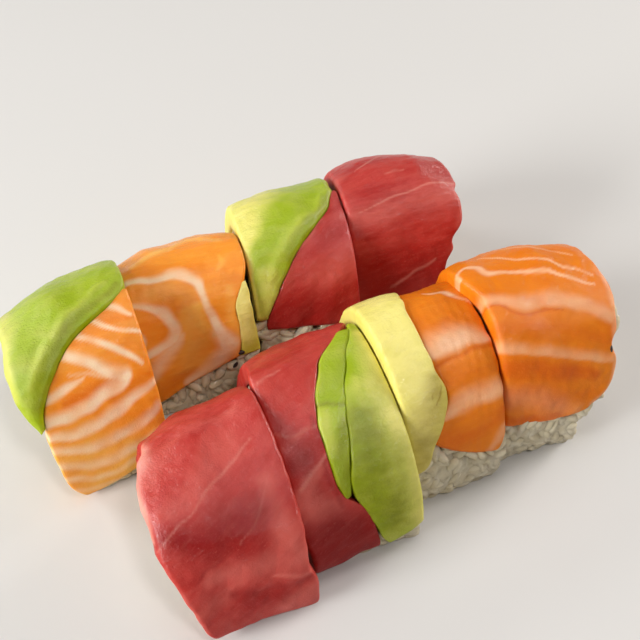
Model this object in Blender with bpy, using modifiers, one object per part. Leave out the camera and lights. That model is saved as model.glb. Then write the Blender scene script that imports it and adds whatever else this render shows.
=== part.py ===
"""Rainbow roll: a roll of rice and nori under tuna, salmon and avocado, cut into eight slices.

The slices stand in two rows of four. X runs along the rows, -Y is the front and +Z is up, in
metres. On a slice, u runs along the roll from its middle, and girth runs from -1 at the front
foot over the crown at 0 to +1 at the back foot.
"""
import math
import random
from collections import namedtuple

import bmesh
import bpy
from mathutils import Matrix, Vector
from mathutils.bvhtree import BVHTree

MM = 0.001

# Outer form of a slice, millimetres: place and turn in the serving, length along the roll,
# how far it reaches to the front and to the back of its crown, its height, the power of its
# arch, and the girth where the toppings end in front, at its left and at its right end.
Slice = namedtuple("Slice", "x y turn length front back height power skirt")
SLICES = {
    "front_1": Slice(-33.3, -7.3, -8.4, 27.2, 30.4, 16.9, 34.6, 2.4, (-0.985, -0.985)),
    "front_2": Slice(-4.2, -3.9, -8.4, 27.4, 32.0, 20.0, 34.4, 2.35, (-0.985, -0.94)),
    "front_3": Slice(22.1, -6.2, -8.4, 24.6, 25.8, 19.0, 37.4, 2.3, (-0.82, -0.87)),
    "front_4": Slice(48.9, -11.4, -12.2, 28.0, 22.6, 21.1, 41.0, 2.5, (-0.83, -0.83)),
    "back_1": Slice(-45.2, 34.9, -4.1, 27.5, 23.9, 20.3, 40.5, 2.2, (-0.985, -0.96)),
    "back_2": Slice(-14.1, 37.8, -14.5, 27.3, 18.1, 17.0, 34.8, 2.2, (-0.92, -0.72)),
    "back_3": Slice(13.9, 37.8, -15.0, 25.6, 21.6, 20.0, 36.2, 2.35, (-0.73, -0.70)),
    "back_4": Slice(41.2, 33.3, -18.0, 27.6, 16.7, 22.0, 37.6, 2.3, (-0.84, -0.77)),
}
ROWS = (("front_1", "front_2", "front_3", "front_4"), ("back_1", "back_2", "back_3", "back_4"))
SERVING_CENTRE = (2.6, 10.66)   # middle of the two rows, where the origin lies
CUT_WIDTH = 0.5                 # between the toppings of two neighbours
BACK_SKIRT = 0.82               # girth where the toppings end at the back of every slice
RICE_SETBACK = 0.9              # of the rice behind the cut ends of the toppings
END_SETBACK = {("front_1", -1): 2.6, ("back_1", -1): 3.2, ("front_4", 1): -0.4, ("back_4", 1): 0.3}

# Ends and surface of the outer form
END_ROUND = 3.2                 # length over which an end curves in
END_DROP = 0.9                  # how far it has curved in at the slice's own end
FOOT_TUCK = 0.4                 # how far the foot curves in where it meets the table
FOOT_RISE = 5.0                 # height over which it does
SWELL_HEIGHT = 0.4              # gentle unevenness of the whole slice
SWELL_LENGTH = 31.0

# Layers
TOPPING_BED = 4.6               # how deep the rice lies under the form where it is covered
BARE_RICE = 0.3                 # and where it is bare
BED_EDGE = 0.10                 # girth over which it rises from one to the other
LEAST_FOOT = 0.10               # girth of the two lowest rows, however far the toppings hang
LEAST_LOW_ROW = 0.4             # share of them that the lowest has
AIR_UNDER = 0.9                 # between the rice and the corners of a topping's underside
RIM_SHARE = 0.72                # a topping's thickness at its rim, of its full thickness
THICKNESS = {"tuna": 3.7, "salmon": 3.7, "avocado_green": 4.1, "avocado_pale": 4.6}

# Toppings: their slice and kind, the girth of the lower edge at the left and right corner,
# the same for the far edge, and borders as (girth, left, right), left and right along u.
# OUT is as far as the slice's own end.
OUT = None
Topping = namedtuple("Topping", "slice kind low high borders")
TOPPINGS = {
    "tuna_front_1": Topping("front_1", "tuna", (-0.985, -0.985), (0.8, 0.8), (
        (-1.0, -10.5, 15.9), (-0.86, -12.2, 15.7), (-0.6, -15.6, OUT), (-0.35, -16.2, OUT),
        (-0.1, -15.6, OUT), (0.1, -14.2, OUT), (0.8, -13.4, OUT))),
    "tuna_front_2": Topping("front_2", "tuna", (-0.985, -0.955), (0.8, 0.8), (
        (-1.0, -12.7, 4.0), (-0.86, -12.9, 2.2), (-0.69, OUT, -0.6), (-0.6, OUT, -3.4),
        (-0.38, OUT, -4.4), (-0.18, OUT, -3.3), (-0.04, OUT, -0.3), (0.13, OUT, 5.8),
        (0.33, OUT, 12.0), (0.8, OUT, 13.0))),
    "avocado_strip_front_2": Topping("front_2", "avocado_green", (-0.6, -0.58), (0.2, 0.2), (
        (-0.6, -2.0, -1.0), (-0.38, -3.2, 1.1), (-0.18, -2.1, 3.1), (-0.04, 1.2, 5.0),
        (0.13, 7.2, 8.4), (0.2, 9.4, 10.3))),
    "avocado_front_2": Topping("front_2", "avocado_green", (-0.94, -0.94), (0.25, 0.25), (
        (-0.94, 4.8, OUT), (-0.84, 3.1, OUT), (-0.69, 1.1, OUT), (-0.57, 0.2, OUT),
        (-0.33, 2.6, OUT), (-0.1, 5.5, OUT), (0.13, 9.4, OUT), (0.25, 11.6, OUT))),
    "avocado_front_3": Topping("front_3", "avocado_pale", (-0.82, -0.81), (0.8, 0.8), (
        (-0.82, OUT, -9.3), (-0.66, OUT, -4.3), (-0.44, OUT, -1.3), (-0.3, OUT, -1.3),
        (-0.09, OUT, -2.3), (0.21, OUT, -1.3), (0.8, OUT, -1.3))),
    "salmon_front_3": Topping("front_3", "salmon", (-0.74, -0.86), (0.8, 0.8), (
        (-0.86, -3.6, 11.4), (-0.66, -3.6, OUT), (-0.44, -0.6, OUT), (-0.3, -0.6, OUT),
        (-0.09, -1.6, OUT), (0.21, -0.6, OUT), (0.8, -0.6, OUT))),
    "salmon_front_4": Topping("front_4", "salmon", (-0.82, -0.82), (0.8, 0.8), (
        (-0.82, OUT, 12.4), (-0.64, OUT, 14.8), (-0.49, OUT, 15.4), (-0.17, OUT, 16.2),
        (-0.04, OUT, 15.8), (0.08, OUT, 14.2), (0.8, OUT, 13.6))),
    "avocado_back_1": Topping("back_1", "avocado_green", (-0.61, -0.61), (0.8, 0.8), (
        (-0.61, -13.6, -12.2), (-0.52, -15.5, -9.8), (-0.4, -16.2, -6.3), (-0.24, -15.8, -0.3),
        (-0.06, -14.2, 7.5), (0.14, -13.5, 15.8), (0.8, -13.4, OUT))),
    "salmon_back_1": Topping("back_1", "salmon", (-0.985, -0.955), (0.08, 0.08), (
        (-1.0, -9.5, OUT), (-0.85, -11.7, OUT), (-0.66, -12.8, OUT), (-0.6, -11.4, OUT),
        (-0.4, -5.5, OUT), (-0.24, 0.5, OUT), (-0.06, 8.3, OUT), (0.08, 13.9, OUT))),
    "salmon_back_2": Topping("back_2", "salmon", (-0.91, -0.73), (0.8, 0.8), (
        (-0.91, OUT, 9.4), (-0.72, OUT, 9.5), (-0.6, OUT, 8.8), (-0.45, OUT, 8.8),
        (-0.28, OUT, 9.8), (-0.13, OUT, 12.4), (0.8, OUT, 12.8))),
    "avocado_back_2": Topping("back_2", "avocado_pale", (-0.71, -0.70), (-0.2, -0.2), (
        (-0.71, 10.3, OUT), (-0.6, 9.5, OUT), (-0.45, 9.5, OUT), (-0.28, 10.6, OUT),
        (-0.2, 11.6, OUT))),
    "avocado_back_3": Topping("back_3", "avocado_green", (-0.65, -0.65), (0.8, 0.8), (
        (-0.65, OUT, -11.0), (-0.43, OUT, -5.3), (-0.14, OUT, 1.7), (0.33, OUT, 12.2),
        (0.8, OUT, 12.4))),
    "tuna_back_3": Topping("back_3", "tuna", (-0.71, -0.69), (0.25, 0.25), (
        (-0.71, -10.2, OUT), (-0.65, -10.2, OUT), (-0.43, -4.5, OUT), (-0.14, 2.5, OUT),
        (0.25, 11.1, OUT))),
    "tuna_back_4": Topping("back_4", "tuna", (-0.83, -0.76), (0.8, 0.8), (
        (-0.83, OUT, 11.0), (-0.63, OUT, 13.6), (-0.45, OUT, 14.9), (-0.13, OUT, 15.6),
        (0.02, OUT, 14.8), (0.18, OUT, 13.6), (0.8, OUT, 13.3))),
}

# Nori: one sheet wound a little past one turn inside each slice
NORI_THICKNESS = 0.5
NORI_AIR = 0.3                  # left to the rice on both of its faces
NORI_START = 250.0              # degrees round from the front
NORI_SWEEP = 400.0
NORI_PITCH = 0.24               # share of its radius lost in one turn
NORI_RADIUS = 10.0              # about, for turning a margin into an angle
NORI_WIDTH_SHARE = 0.52         # its half width, of the rice's
NORI_RISE_SHARE = 0.30          # its half height, of the rice's height
NORI_CENTRE_SHARE = 0.45        # height of its middle, of the rice's height

# Rice grains
GRAIN = (2.7, 1.3, 1.2)         # half length, half width, half height
GRAIN_SEGMENTS = 6
GRAIN_RINGS = 3
GRAIN_PITCH = 6.4               # from grain to grain along the roll
GRAIN_ROW = 3.9                 # from row to row up the foot
FIRST_ROW = 2.0
END_GRAIN_PITCH = 8.2
END_GRAIN_ROW = 5.0
END_GRAIN_REACH = 0.80          # share of the end face that carries grains
NORI_CLEARANCE = 2.2            # from a grain's middle to the nori
GRAIN_SINK = 0.45               # how far a grain's middle lies under the surface
GRAIN_AIR = 0.45                # least distance from its corners to any other piece
GRAIN_FLOOR = 0.1               # and to the table
GRAIN_STRAY = (0.3, 0.7)        # where it lies in its cell of the pattern
GRAIN_SPIN = (-1.3, 1.3)        # radians
GRAIN_SEED = 5

# Mesh density, faces
RICE_COLUMNS = 6
COVERED_ROWS = 11
TOPPING_COLUMN = 4.6            # at its widest, along the roll
TOPPING_ROW = 0.15              # girth
NORI_FACETS = 18
ON_TABLE = 1e-4                  # millimetres above it that count as on it

# Colours are linear; each has a roughness
FINISHES = {
    "rice": ((0.66, 0.66, 0.61), 0.45),
    "nori": ((0.012, 0.017, 0.012), 0.60),
    "tuna": ((0.42, 0.045, 0.055), 0.32),
    "salmon": ((0.82, 0.25, 0.06), 0.30),
    "avocado_green": ((0.38, 0.46, 0.05), 0.35),
    "avocado_pale": ((0.78, 0.68, 0.24), 0.38),
}


def clear_scene():
    for item in list(bpy.data.objects):
        bpy.data.objects.remove(item)


def new_collection(name, parent=None):
    collection = bpy.data.collections.new(name)
    (parent or bpy.context.scene.collection).children.link(collection)
    return collection


def make_finish(name):
    colour, roughness = FINISHES[name]
    material = bpy.data.materials.new(name)
    material.use_nodes = True
    shader = material.node_tree.nodes["Principled BSDF"]
    shader.inputs["Base Color"].default_value = (*colour, 1.0)
    shader.inputs["Roughness"].default_value = roughness
    shader.inputs["Metallic"].default_value = 0.0
    return material


def new_object(name, mesh, collection, finish=None):
    """Turns a bmesh that is drawn in millimetres into an object in metres."""
    bmesh.ops.scale(mesh, vec=(MM, MM, MM), verts=mesh.verts)
    bmesh.ops.recalc_face_normals(mesh, faces=mesh.faces)
    data = bpy.data.meshes.new(name)
    mesh.to_mesh(data)
    mesh.free()
    item = bpy.data.objects.new(name, data)
    collection.objects.link(item)
    if finish:
        data.materials.append(finish)
        data.shade_smooth()
        data.set_sharp_from_angle(angle=math.radians(50))
    return item


def apply_modifiers(item):
    graph = bpy.context.evaluated_depsgraph_get()
    data = bpy.data.meshes.new_from_object(item.evaluated_get(graph))
    item.modifiers.clear()
    item.data = data


def cut(item, cutter):
    cutter.display_type = "WIRE"
    cutter.hide_render = True
    modifier = item.modifiers.new("slot", "BOOLEAN")
    modifier.operation = "DIFFERENCE"
    modifier.object = cutter
    apply_modifiers(item)


def fuse(item, collection):
    """Unites the item with everything in a collection, and removes that collection."""
    modifier = item.modifiers.new("grains", "BOOLEAN")
    modifier.operation = "UNION"
    modifier.solver = "MANIFOLD"
    modifier.operand_type = "COLLECTION"
    modifier.collection = collection
    apply_modifiers(item)
    for grain in list(collection.objects):
        bpy.data.objects.remove(grain)
    bpy.data.collections.remove(collection)


def mix(low, high, share):
    return low + (high - low) * share


def smooth_step(value):
    value = min(max(value, 0.0), 1.0)
    return value * value * (3 - 2 * value)


def place_of(name):
    piece = SLICES[name]
    return Vector((piece.x, piece.y)), Matrix.Rotation(math.radians(piece.turn), 2)


def end_line(name, side):
    """A slice's end seen in its own frame: u at its middle, and its gain in u for each y."""
    row = next(row for row in ROWS if name in row)
    beside = row.index(name) + side
    piece = SLICES[name]
    if beside not in range(len(row)):
        return side * piece.length / 2, 0.0
    other = SLICES[row[beside]]
    middle, turned = place_of(name)
    other_middle, other_turned = place_of(row[beside])
    own_end = middle + turned @ Vector((side * piece.length / 2, 0))
    other_end = other_middle - other_turned @ Vector((side * other.length / 2, 0))
    meeting = turned.transposed() @ ((own_end + other_end) / 2 - middle)
    slope = -math.tan(math.radians(other.turn - piece.turn) / 2)
    return meeting.x - meeting.y * slope - side * CUT_WIDTH / 2, slope


def end_at(name, side, y):
    middle, slope = ENDS[name, side]
    return middle + slope * y


def arch(piece, girth, lift):
    """Point of the arch across a slice, raised by lift: y and z."""
    angle = (girth + 1) * math.pi / 2
    across, up = math.cos(angle), max(math.sin(angle), 0.0)
    z = (piece.height + lift) * up ** (2 / piece.power)
    reach = (piece.front if across > 0 else piece.back) + lift
    tuck = FOOT_TUCK * max(0.0, 1 - z / FOOT_RISE) ** 2
    return math.copysign(abs(across) ** (2 / piece.power) * (reach - tuck), -across), z


def outer_form(name, u, girth, lift):
    """Point of a slice's outer form, raised by lift, in its own frame."""
    piece = SLICES[name]
    y, _ = arch(piece, girth, 0.0)
    past = max(0.0, u - end_at(name, 1, y) + END_ROUND, end_at(name, -1, y) + END_ROUND - u)
    swell = SWELL_HEIGHT * math.sin(math.tau * (u / SWELL_LENGTH + girth + piece.x / 10))
    raised = lift + swell - END_DROP * (past / END_ROUND) ** 2
    return Vector((u, *arch(piece, girth, raised)))


def skirt_line(piece, u):
    return mix(piece.skirt[0], piece.skirt[1], u / piece.length + 0.5)


def rice_form(name, u, girth):
    """Point of the rice's own surface, which rises to the outer form where it is bare."""
    below = (skirt_line(SLICES[name], u) - girth) if girth < 0 else (girth - BACK_SKIRT)
    bed = mix(TOPPING_BED, BARE_RICE, smooth_step(below / BED_EDGE))
    return outer_form(name, u, girth, -bed)


def rice_end(name, side, y):
    return end_at(name, side, y) - side * END_SETBACK.get((name, side), RICE_SETBACK)


def grid_sheet(columns, rows, place):
    """Sheet of faces whose corners lie where place says, for shares 0 to 1 both ways."""
    mesh = bmesh.new()
    bmesh.ops.create_grid(mesh, x_segments=columns, y_segments=rows, size=0.5)
    for corner in mesh.verts:
        corner.co = place(corner.co.x + 0.5, corner.co.y + 0.5)
    return mesh


def rice_girths(piece, u):
    """Girths of the rows of the rice's mesh, one on each edge of its bed of toppings."""
    top_of_foot = max(skirt_line(piece, u), -1 + LEAST_FOOT)
    middle_of_foot = max(top_of_foot - BED_EDGE, mix(-1, top_of_foot, LEAST_LOW_ROW))
    covered = [mix(top_of_foot, BACK_SKIRT, row / COVERED_ROWS) for row in range(COVERED_ROWS + 1)]
    return [-1.0, middle_of_foot, *covered, BACK_SKIRT + BED_EDGE, 1.0]


def make_rice(name, collection, finish):
    piece = SLICES[name]
    rows = COVERED_ROWS + 4

    def place(across, along):
        share = 0.5 + 0.5 * math.sin(math.pi * (across - 0.5))
        rough_u = (share - 0.5) * piece.length
        girth = rice_girths(piece, rough_u)[round(along * rows)]
        y = rice_form(name, rough_u, girth).y
        return rice_form(name, mix(rice_end(name, -1, y), rice_end(name, 1, y), share), girth)

    mesh = grid_sheet(RICE_COLUMNS, rows, place)
    for corner in mesh.verts:
        if corner.co.z < ON_TABLE:
            corner.co.z = 0.0
    feet = [edge for edge in mesh.edges
            if edge.is_boundary and all(corner.co.z == 0.0 for corner in edge.verts)]
    bmesh.ops.bridge_loops(mesh, edges=feet)
    bmesh.ops.holes_fill(mesh, edges=[edge for edge in mesh.edges if edge.is_boundary])
    return new_object(f"rice_{name}", mesh, collection, finish)


def nori_line(name, start, sweep):
    """Points of the wound sheet in the slice's own y, z plane."""
    piece = SLICES[name]
    rice_height = piece.height - TOPPING_BED
    rice_half = (piece.front + piece.back) / 2 - TOPPING_BED
    middle = Vector(((piece.back - piece.front) / 2, NORI_CENTRE_SHARE * rice_height))
    points = []
    for step in range(NORI_FACETS + 1):
        turned = sweep * step / NORI_FACETS
        angle = math.radians(start + turned)
        shrink = 1 - NORI_PITCH * (turned + start - NORI_START) / 360
        points.append(middle + shrink * Vector((
            -NORI_WIDTH_SHARE * rice_half * math.cos(angle),
            NORI_RISE_SHARE * rice_height * math.sin(angle))))
    return points


def nori_sheet(name, margin, thickness, collection, finish=None):
    """The wound sheet as a solid; a margin makes it longer on every side."""
    spare = math.degrees(margin / NORI_RADIUS)
    line = nori_line(name, NORI_START - spare, NORI_SWEEP + 2 * spare)

    def place(across, along):
        point = line[round(along * NORI_FACETS)]
        left, right = rice_end(name, -1, point.x) - margin, rice_end(name, 1, point.x) + margin
        return Vector((mix(left, right, across), point.x, point.y))

    label = "nori" if finish else "slot"
    item = new_object(f"{label}_{name}", grid_sheet(1, NORI_FACETS, place), collection, finish)
    solid = item.modifiers.new("thickness", "SOLIDIFY")
    solid.thickness = thickness * MM
    solid.offset = 0.0
    apply_modifiers(item)
    return item


def grain_mesh(spot, normal, along, spin):
    """One grain lying on a surface: its middle, the surface's normal and a direction in it."""
    grain = bmesh.new()
    bmesh.ops.create_uvsphere(grain, u_segments=GRAIN_SEGMENTS, v_segments=GRAIN_RINGS, radius=1)
    bmesh.ops.rotate(grain, verts=grain.verts, matrix=Matrix.Rotation(math.pi / 2, 3, "Y"))
    bmesh.ops.scale(grain, vec=GRAIN, verts=grain.verts)
    side = normal.cross(along).normalized()
    frame = Matrix((side.cross(normal), side, normal)).transposed()
    turn = frame @ Matrix.Rotation(spin, 3, "Z")
    bmesh.ops.transform(grain, verts=grain.verts, matrix=turn.to_4x4())
    bmesh.ops.translate(grain, verts=grain.verts, vec=spot)
    return grain


def foot_spots(name, draw):
    """Where grains lie on the bare rice along the front and back foot, and their spin."""
    piece = SLICES[name]
    left, right = rice_end(name, -1, 0), rice_end(name, 1, 0)
    columns = round((right - left) / GRAIN_PITCH)
    for side in (-1, 1):
        z = FIRST_ROW
        while z < piece.height / 2:
            for column in range(columns):
                u = left + (column + draw.uniform(*GRAIN_STRAY)) * (right - left) / columns
                share = (z + draw.uniform(*GRAIN_STRAY) - 0.5) / piece.height
                girth = side * (1 - math.asin(share ** (piece.power / 2)) * 2 / math.pi)
                skirt = skirt_line(piece, u) if side < 0 else -BACK_SKIRT
                if abs(girth) > abs(skirt):
                    yield rice_form(name, u, girth), draw.uniform(*GRAIN_SPIN)
            z += GRAIN_ROW


def end_spots(name, side, draw):
    """Where grains lie on the bare rice of a free end, clear of the nori, and their spin."""
    piece = SLICES[name]
    line = nori_line(name, NORI_START, NORI_SWEEP)
    top = rice_form(name, rice_end(name, side, 0), 0).z
    rows = round(top / END_GRAIN_ROW)
    columns = round((piece.front + piece.back) / END_GRAIN_PITCH)
    for row in range(rows):
        for column in range(columns):
            y = mix(-piece.front, piece.back, (column + draw.uniform(*GRAIN_STRAY)) / columns)
            z = (row + draw.uniform(*GRAIN_STRAY)) * END_GRAIN_ROW
            reach = (piece.front if y < 0 else piece.back) * END_GRAIN_REACH
            inside = (abs(y) / reach) ** 2 + (z / (top * END_GRAIN_REACH)) ** 2 < 1
            clear = min((Vector((y, z)) - point).length for point in line) > NORI_CLEARANCE
            if inside and clear:
                yield Vector((rice_end(name, side, y), y, z)), draw.uniform(*GRAIN_SPIN)


def surface_tree(item):
    """Search tree of an object's faces, in millimetres of the whole serving."""
    corners = [item.matrix_world @ corner.co / MM for corner in item.data.vertices]
    return BVHTree.FromPolygons(corners, [tuple(face.vertices) for face in item.data.polygons])


def scatter_grains(name, rice, others):
    """Fuses grains to a slice's bare rice wherever they keep clear of everything else."""
    draw = random.Random(f"{GRAIN_SEED} {name}")
    spots = list(foot_spots(name, draw))
    for side in (-1, 1):
        if (name, side) in END_SETBACK:
            spots.extend(end_spots(name, side, draw))
    core = surface_tree(rice)
    obstacles = [surface_tree(item) for item in others]
    to_serving = rice.matrix_world.copy()
    to_serving.translation /= MM
    grains = new_collection(f"grains_{name}")
    for spot, spin in spots:
        touch, normal, _, _ = core.find_nearest(to_serving @ spot)
        along = Vector((1, 0, 0)) if abs(normal.x) < 0.7 else Vector((0, 1, 0))
        grain = grain_mesh(touch - GRAIN_SINK * normal, normal, along, spin)
        low = min(corner.co.z for corner in grain.verts)
        bmesh.ops.translate(grain, verts=grain.verts, vec=(0, 0, max(0, GRAIN_FLOOR - low)))
        skin = [corner.co for corner in grain.verts]
        skin.extend(face.calc_center_median() for face in grain.faces)
        if min(tree.find_nearest(point)[3] for tree in obstacles for point in skin) > GRAIN_AIR:
            new_object("grain", grain, grains)
        else:
            grain.free()
    fuse(rice, grains)


def make_slice(name, collection, cutters, finishes):
    """A slice's solids without its grains, its rice first."""
    piece = SLICES[name]
    rice = make_rice(name, collection, finishes["rice"])
    slot = nori_sheet(name, NORI_AIR, NORI_THICKNESS + 2 * NORI_AIR, cutters)
    cut(rice, slot)
    nori = nori_sheet(name, 0.0, NORI_THICKNESS, collection, finishes["nori"])
    toppings = [make_topping(label, collection, finishes) for label, topping in TOPPINGS.items()
                if topping.slice == name]
    for item in (rice, slot, nori, *toppings):
        item.location = (MM * (piece.x - SERVING_CENTRE[0]), MM * (piece.y - SERVING_CENTRE[1]), 0)
        item.rotation_euler.z = math.radians(piece.turn)
    return [rice, slot, nori, *toppings]


def border_at(topping, girth, side):
    """Where a topping's left (-1) or right (1) border runs at a girth."""
    y, _ = arch(SLICES[topping.slice], girth, 0.0)
    own_end = end_at(topping.slice, side, y)
    stations = [(station, (left, right)[side > 0]) for station, left, right in topping.borders]
    stations = [(station, own_end if border is OUT else border) for station, border in stations]
    for (low, low_border), (high, high_border) in zip(stations, stations[1:]):
        if girth <= high:
            break
    return mix(low_border, high_border, min(max((girth - low) / (high - low), 0.0), 1.0))


def make_topping(name, collection, finishes):
    """Slab bent over the rice: a box with a grid on both faces, thinner round its rim."""
    topping = TOPPINGS[name]
    middle = sum(topping.low + topping.high) / 4
    width = border_at(topping, middle, 1) - border_at(topping, middle, -1)
    columns = max(3, round(width / TOPPING_COLUMN))
    rows = math.ceil((max(topping.high) - min(topping.low)) / TOPPING_ROW)
    mesh = bmesh.new()
    bmesh.ops.create_cube(mesh, size=1.0)
    for axis, cuts in ((0, columns - 1), (1, rows - 1)):
        runs = [edge for edge in mesh.edges
                if abs(edge.verts[0].co[axis] - edge.verts[1].co[axis]) > 0.5]
        bmesh.ops.subdivide_edges(mesh, edges=runs, cuts=cuts, use_grid_fill=True)
    for corner in mesh.verts:
        across, along = corner.co.x + 0.5, corner.co.y + 0.5
        girth = mix(mix(*topping.low, across), mix(*topping.high, across), along)
        u = mix(border_at(topping, girth, -1), border_at(topping, girth, 1), across)
        lift = AIR_UNDER - TOPPING_BED
        if corner.co.z > 0:
            at_rim = min(across, 1 - across, along, 1 - along) < 1e-3
            lift += THICKNESS[topping.kind] * (RIM_SHARE if at_rim else 1.0)
        corner.co = outer_form(topping.slice, u, girth, lift)
    return new_object(name, mesh, collection, finishes[topping.kind])


ENDS = {(name, side): end_line(name, side) for name in SLICES for side in (-1, 1)}


def main():
    clear_scene()
    parts = new_collection("rainbow_roll")
    cutters = new_collection("cutters")
    finishes = {name: make_finish(name) for name in FINISHES}
    serving = bpy.data.objects.new("serving", None)
    parts.objects.link(serving)
    slices = {name: make_slice(name, parts, cutters, finishes) for name in SLICES}
    for items in slices.values():
        for item in items:
            item.parent = serving
    bpy.context.view_layer.update()
    for name, (rice, *_) in slices.items():
        scatter_grains(name, rice, [item for item in parts.objects if item not in (rice, serving)])


main()
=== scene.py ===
"""Rainbow roll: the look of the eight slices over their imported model.

Everything is worked out in millimetres in each slice's own frame, as in the part: u runs along
the roll from the slice's middle, girth runs from -1 at the front foot over the crown at 0 to +1
at the back foot, and lift is the height over the slice's outer form. A side is -1 for a slice's
left end and 1 for its right end. The tables of toppings and marks give girth in hundredths.
"""
import math
from collections import namedtuple

import bmesh
import bpy
import numpy as np
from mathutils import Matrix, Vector


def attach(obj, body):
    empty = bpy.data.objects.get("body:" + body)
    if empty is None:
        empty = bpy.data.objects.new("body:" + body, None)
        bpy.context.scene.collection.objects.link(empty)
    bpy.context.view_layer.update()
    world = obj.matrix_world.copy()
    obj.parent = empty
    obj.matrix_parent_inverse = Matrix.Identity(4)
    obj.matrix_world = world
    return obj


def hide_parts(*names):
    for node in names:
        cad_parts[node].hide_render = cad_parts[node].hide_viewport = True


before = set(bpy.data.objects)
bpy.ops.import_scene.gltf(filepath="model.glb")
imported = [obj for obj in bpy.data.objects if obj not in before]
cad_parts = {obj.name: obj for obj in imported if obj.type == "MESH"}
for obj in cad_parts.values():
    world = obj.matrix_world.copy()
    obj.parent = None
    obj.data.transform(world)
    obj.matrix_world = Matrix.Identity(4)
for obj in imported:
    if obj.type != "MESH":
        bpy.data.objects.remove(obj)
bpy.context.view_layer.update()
MM = 0.001

# The slices' outer forms, as in the part. A scratch program fitted them to outlines read by eye in
# the photo, and many lengths, reaches and heights were changed by hand after it. Skirt is the girth
# to which the toppings hang down in front at the left and right end, and tuck is how far the foot
# curves in.
Slice = namedtuple("Slice", "x y turn length front back height power skirt tuck")
SLICES = {
    "front_1": Slice(-33.3, -7.3, -8.4, 27.2, 30.4, 16.9, 34.6, 2.4, (-1.1, -1.1), 0.8),
    "front_2": Slice(-4.2, -3.9, -8.4, 27.4, 32.0, 20.0, 34.4, 2.35, (-1.12, -0.83), 2.6),
    "front_3": Slice(22.1, -6.2, -8.4, 24.6, 25.8, 19.0, 37.4, 2.3, (-0.66, -0.82), 2.4),
    "front_4": Slice(48.9, -11.4, -12.2, 28.0, 22.6, 21.1, 41.0, 2.5, (-0.79, -0.79), 2.0),
    "back_1": Slice(-45.2, 34.9, -4.1, 27.5, 23.9, 20.3, 40.5, 2.2, (-1.1, -0.86), 0.8),
    "back_2": Slice(-14.1, 37.8, -14.5, 27.3, 18.1, 18.2, 35.5, 2.2, (-0.92, -0.72), 0.8),
    "back_3": Slice(13.9, 37.8, -15.0, 25.6, 21.6, 20.0, 36.2, 2.35, (-0.7, -0.8), 0.8),
    "back_4": Slice(41.2, 33.3, -18.0, 27.6, 16.7, 22.0, 37.6, 2.3, (-0.88, -0.86), 0.8),
}
ROWS = (("front_1", "front_2", "front_3", "front_4"), ("back_1", "back_2", "back_3", "back_4"))
SERVING_CENTRE = (2.6, 10.66)   # middle of the two rows, where the origin lies
CUT_GAP = 0.3                   # between two slices
END_TRIM = {("front_2", -1): (1.4, 1.0, 9.0)}   # off an end: amount, from y, in full at y
END_ROUND = 3.2                 # length over which an end curves in
END_DROP = 0.45                 # how far it has curved in at the slice's own end
FOOT_RISE = 8.0                 # height over which the foot curves in
SWELL_HEIGHT = 0.4              # gentle unevenness of a whole slice
SWELL_LENGTH = 31.0
GIRTH_MM = 45.0                 # length over the form for a girth of 1, about
RIPPLE_WAVES, RIPPLE_LENGTHS = 7, (0.7, 1.6)   # of all unevenness: how many, and their range
RIPPLE_TOP = 3.2                # sum that they seldom pass

# Ends whose upper or back corner has slumped: length along the roll, depth, and the girth from
# which it sinks and at which it has sunk in full
SAG = {
    ("front_1", -1): (12.0, 3.4, -0.3, 0.1), ("front_1", 1): (10.0, -1.3, -0.35, 0.0),
    ("front_2", -1): (6.0, 1.6, -0.02, 0.26), ("front_4", 1): (14.0, 1.7, -0.35, 0.0),
    ("back_1", -1): (14.0, 4.2, -0.35, 0.1), ("back_2", -1): (9.0, 3.0, -0.15, 0.2),
    ("back_2", 1): (9.0, 1.0, -0.25, 0.15), ("back_3", -1): (11.0, 2.2, -0.3, 0.05),
    ("back_4", -1): (9.0, 1.8, -0.2, 0.1), ("back_4", 1): (9.0, 1.9, -0.35, 0.0),
}

# Rice and the nori in it, which is wound as in the part
TOPPING_BED = 4.6               # how deep the rice lies under the form where it is covered
CORE_LIFT = -0.75               # lift of the rice between its grains, where it is bare
BED_EDGE = 0.10                 # girth over which it rises from one to the other
BACK_SKIRT = 0.82               # girth above which the rice shows behind
RICE_SETBACK = 0.4              # of the rice behind a slice's end

# Free ends: the rice's setback there, and how much further in it ends round the front foot
END_SETBACK = {("front_1", -1): 2.6, ("back_1", -1): 3.2, ("front_4", 1): 0.4, ("back_4", 1): 2.2}
FOOT_SHORT = {("front_4", 1): 8.0, ("back_4", 1): 2.0, ("front_1", -1): 3.5, ("back_1", -1): 4.5}
FOOT_REACH = 20.0               # distance from the foot at which it starts to end further in
FOOT_FADE = 11.0                # and over which it comes to end so in full

CORE_INSET = 0.35               # of the rice behind the grains of an end
CORE_FLOOR = 0.15               # its least height over the table
CORE_SWELL = (0.3, 3.4, 600)    # height and length of its unevenness, and the seed
CORE_GRID = (110, 34)           # its faces round the slice and along it
CORE_RINGS = (0.88, 0.76, 0.62, 0.48, 0.34, 0.18)   # sizes of the rings that close an end
NORI_THICKNESS = 0.35
NORI_START, NORI_SWEEP, NORI_PITCH = 250.0, 400.0, 0.24
NORI_WIDTH_SHARE, NORI_RISE_SHARE, NORI_CENTRE_SHARE = 0.52, 0.30, 0.45
NORI_SWELL = (0.012, 50.0, 500)   # share, degrees and seed of its unevenness
NORI_GRID, NORI_FINE = (90, 12), 240   # its points round the roll and faces along it
NORI_PROUD = (0.05, 0.5)        # beyond the rice at a cut and at a free end

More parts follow.
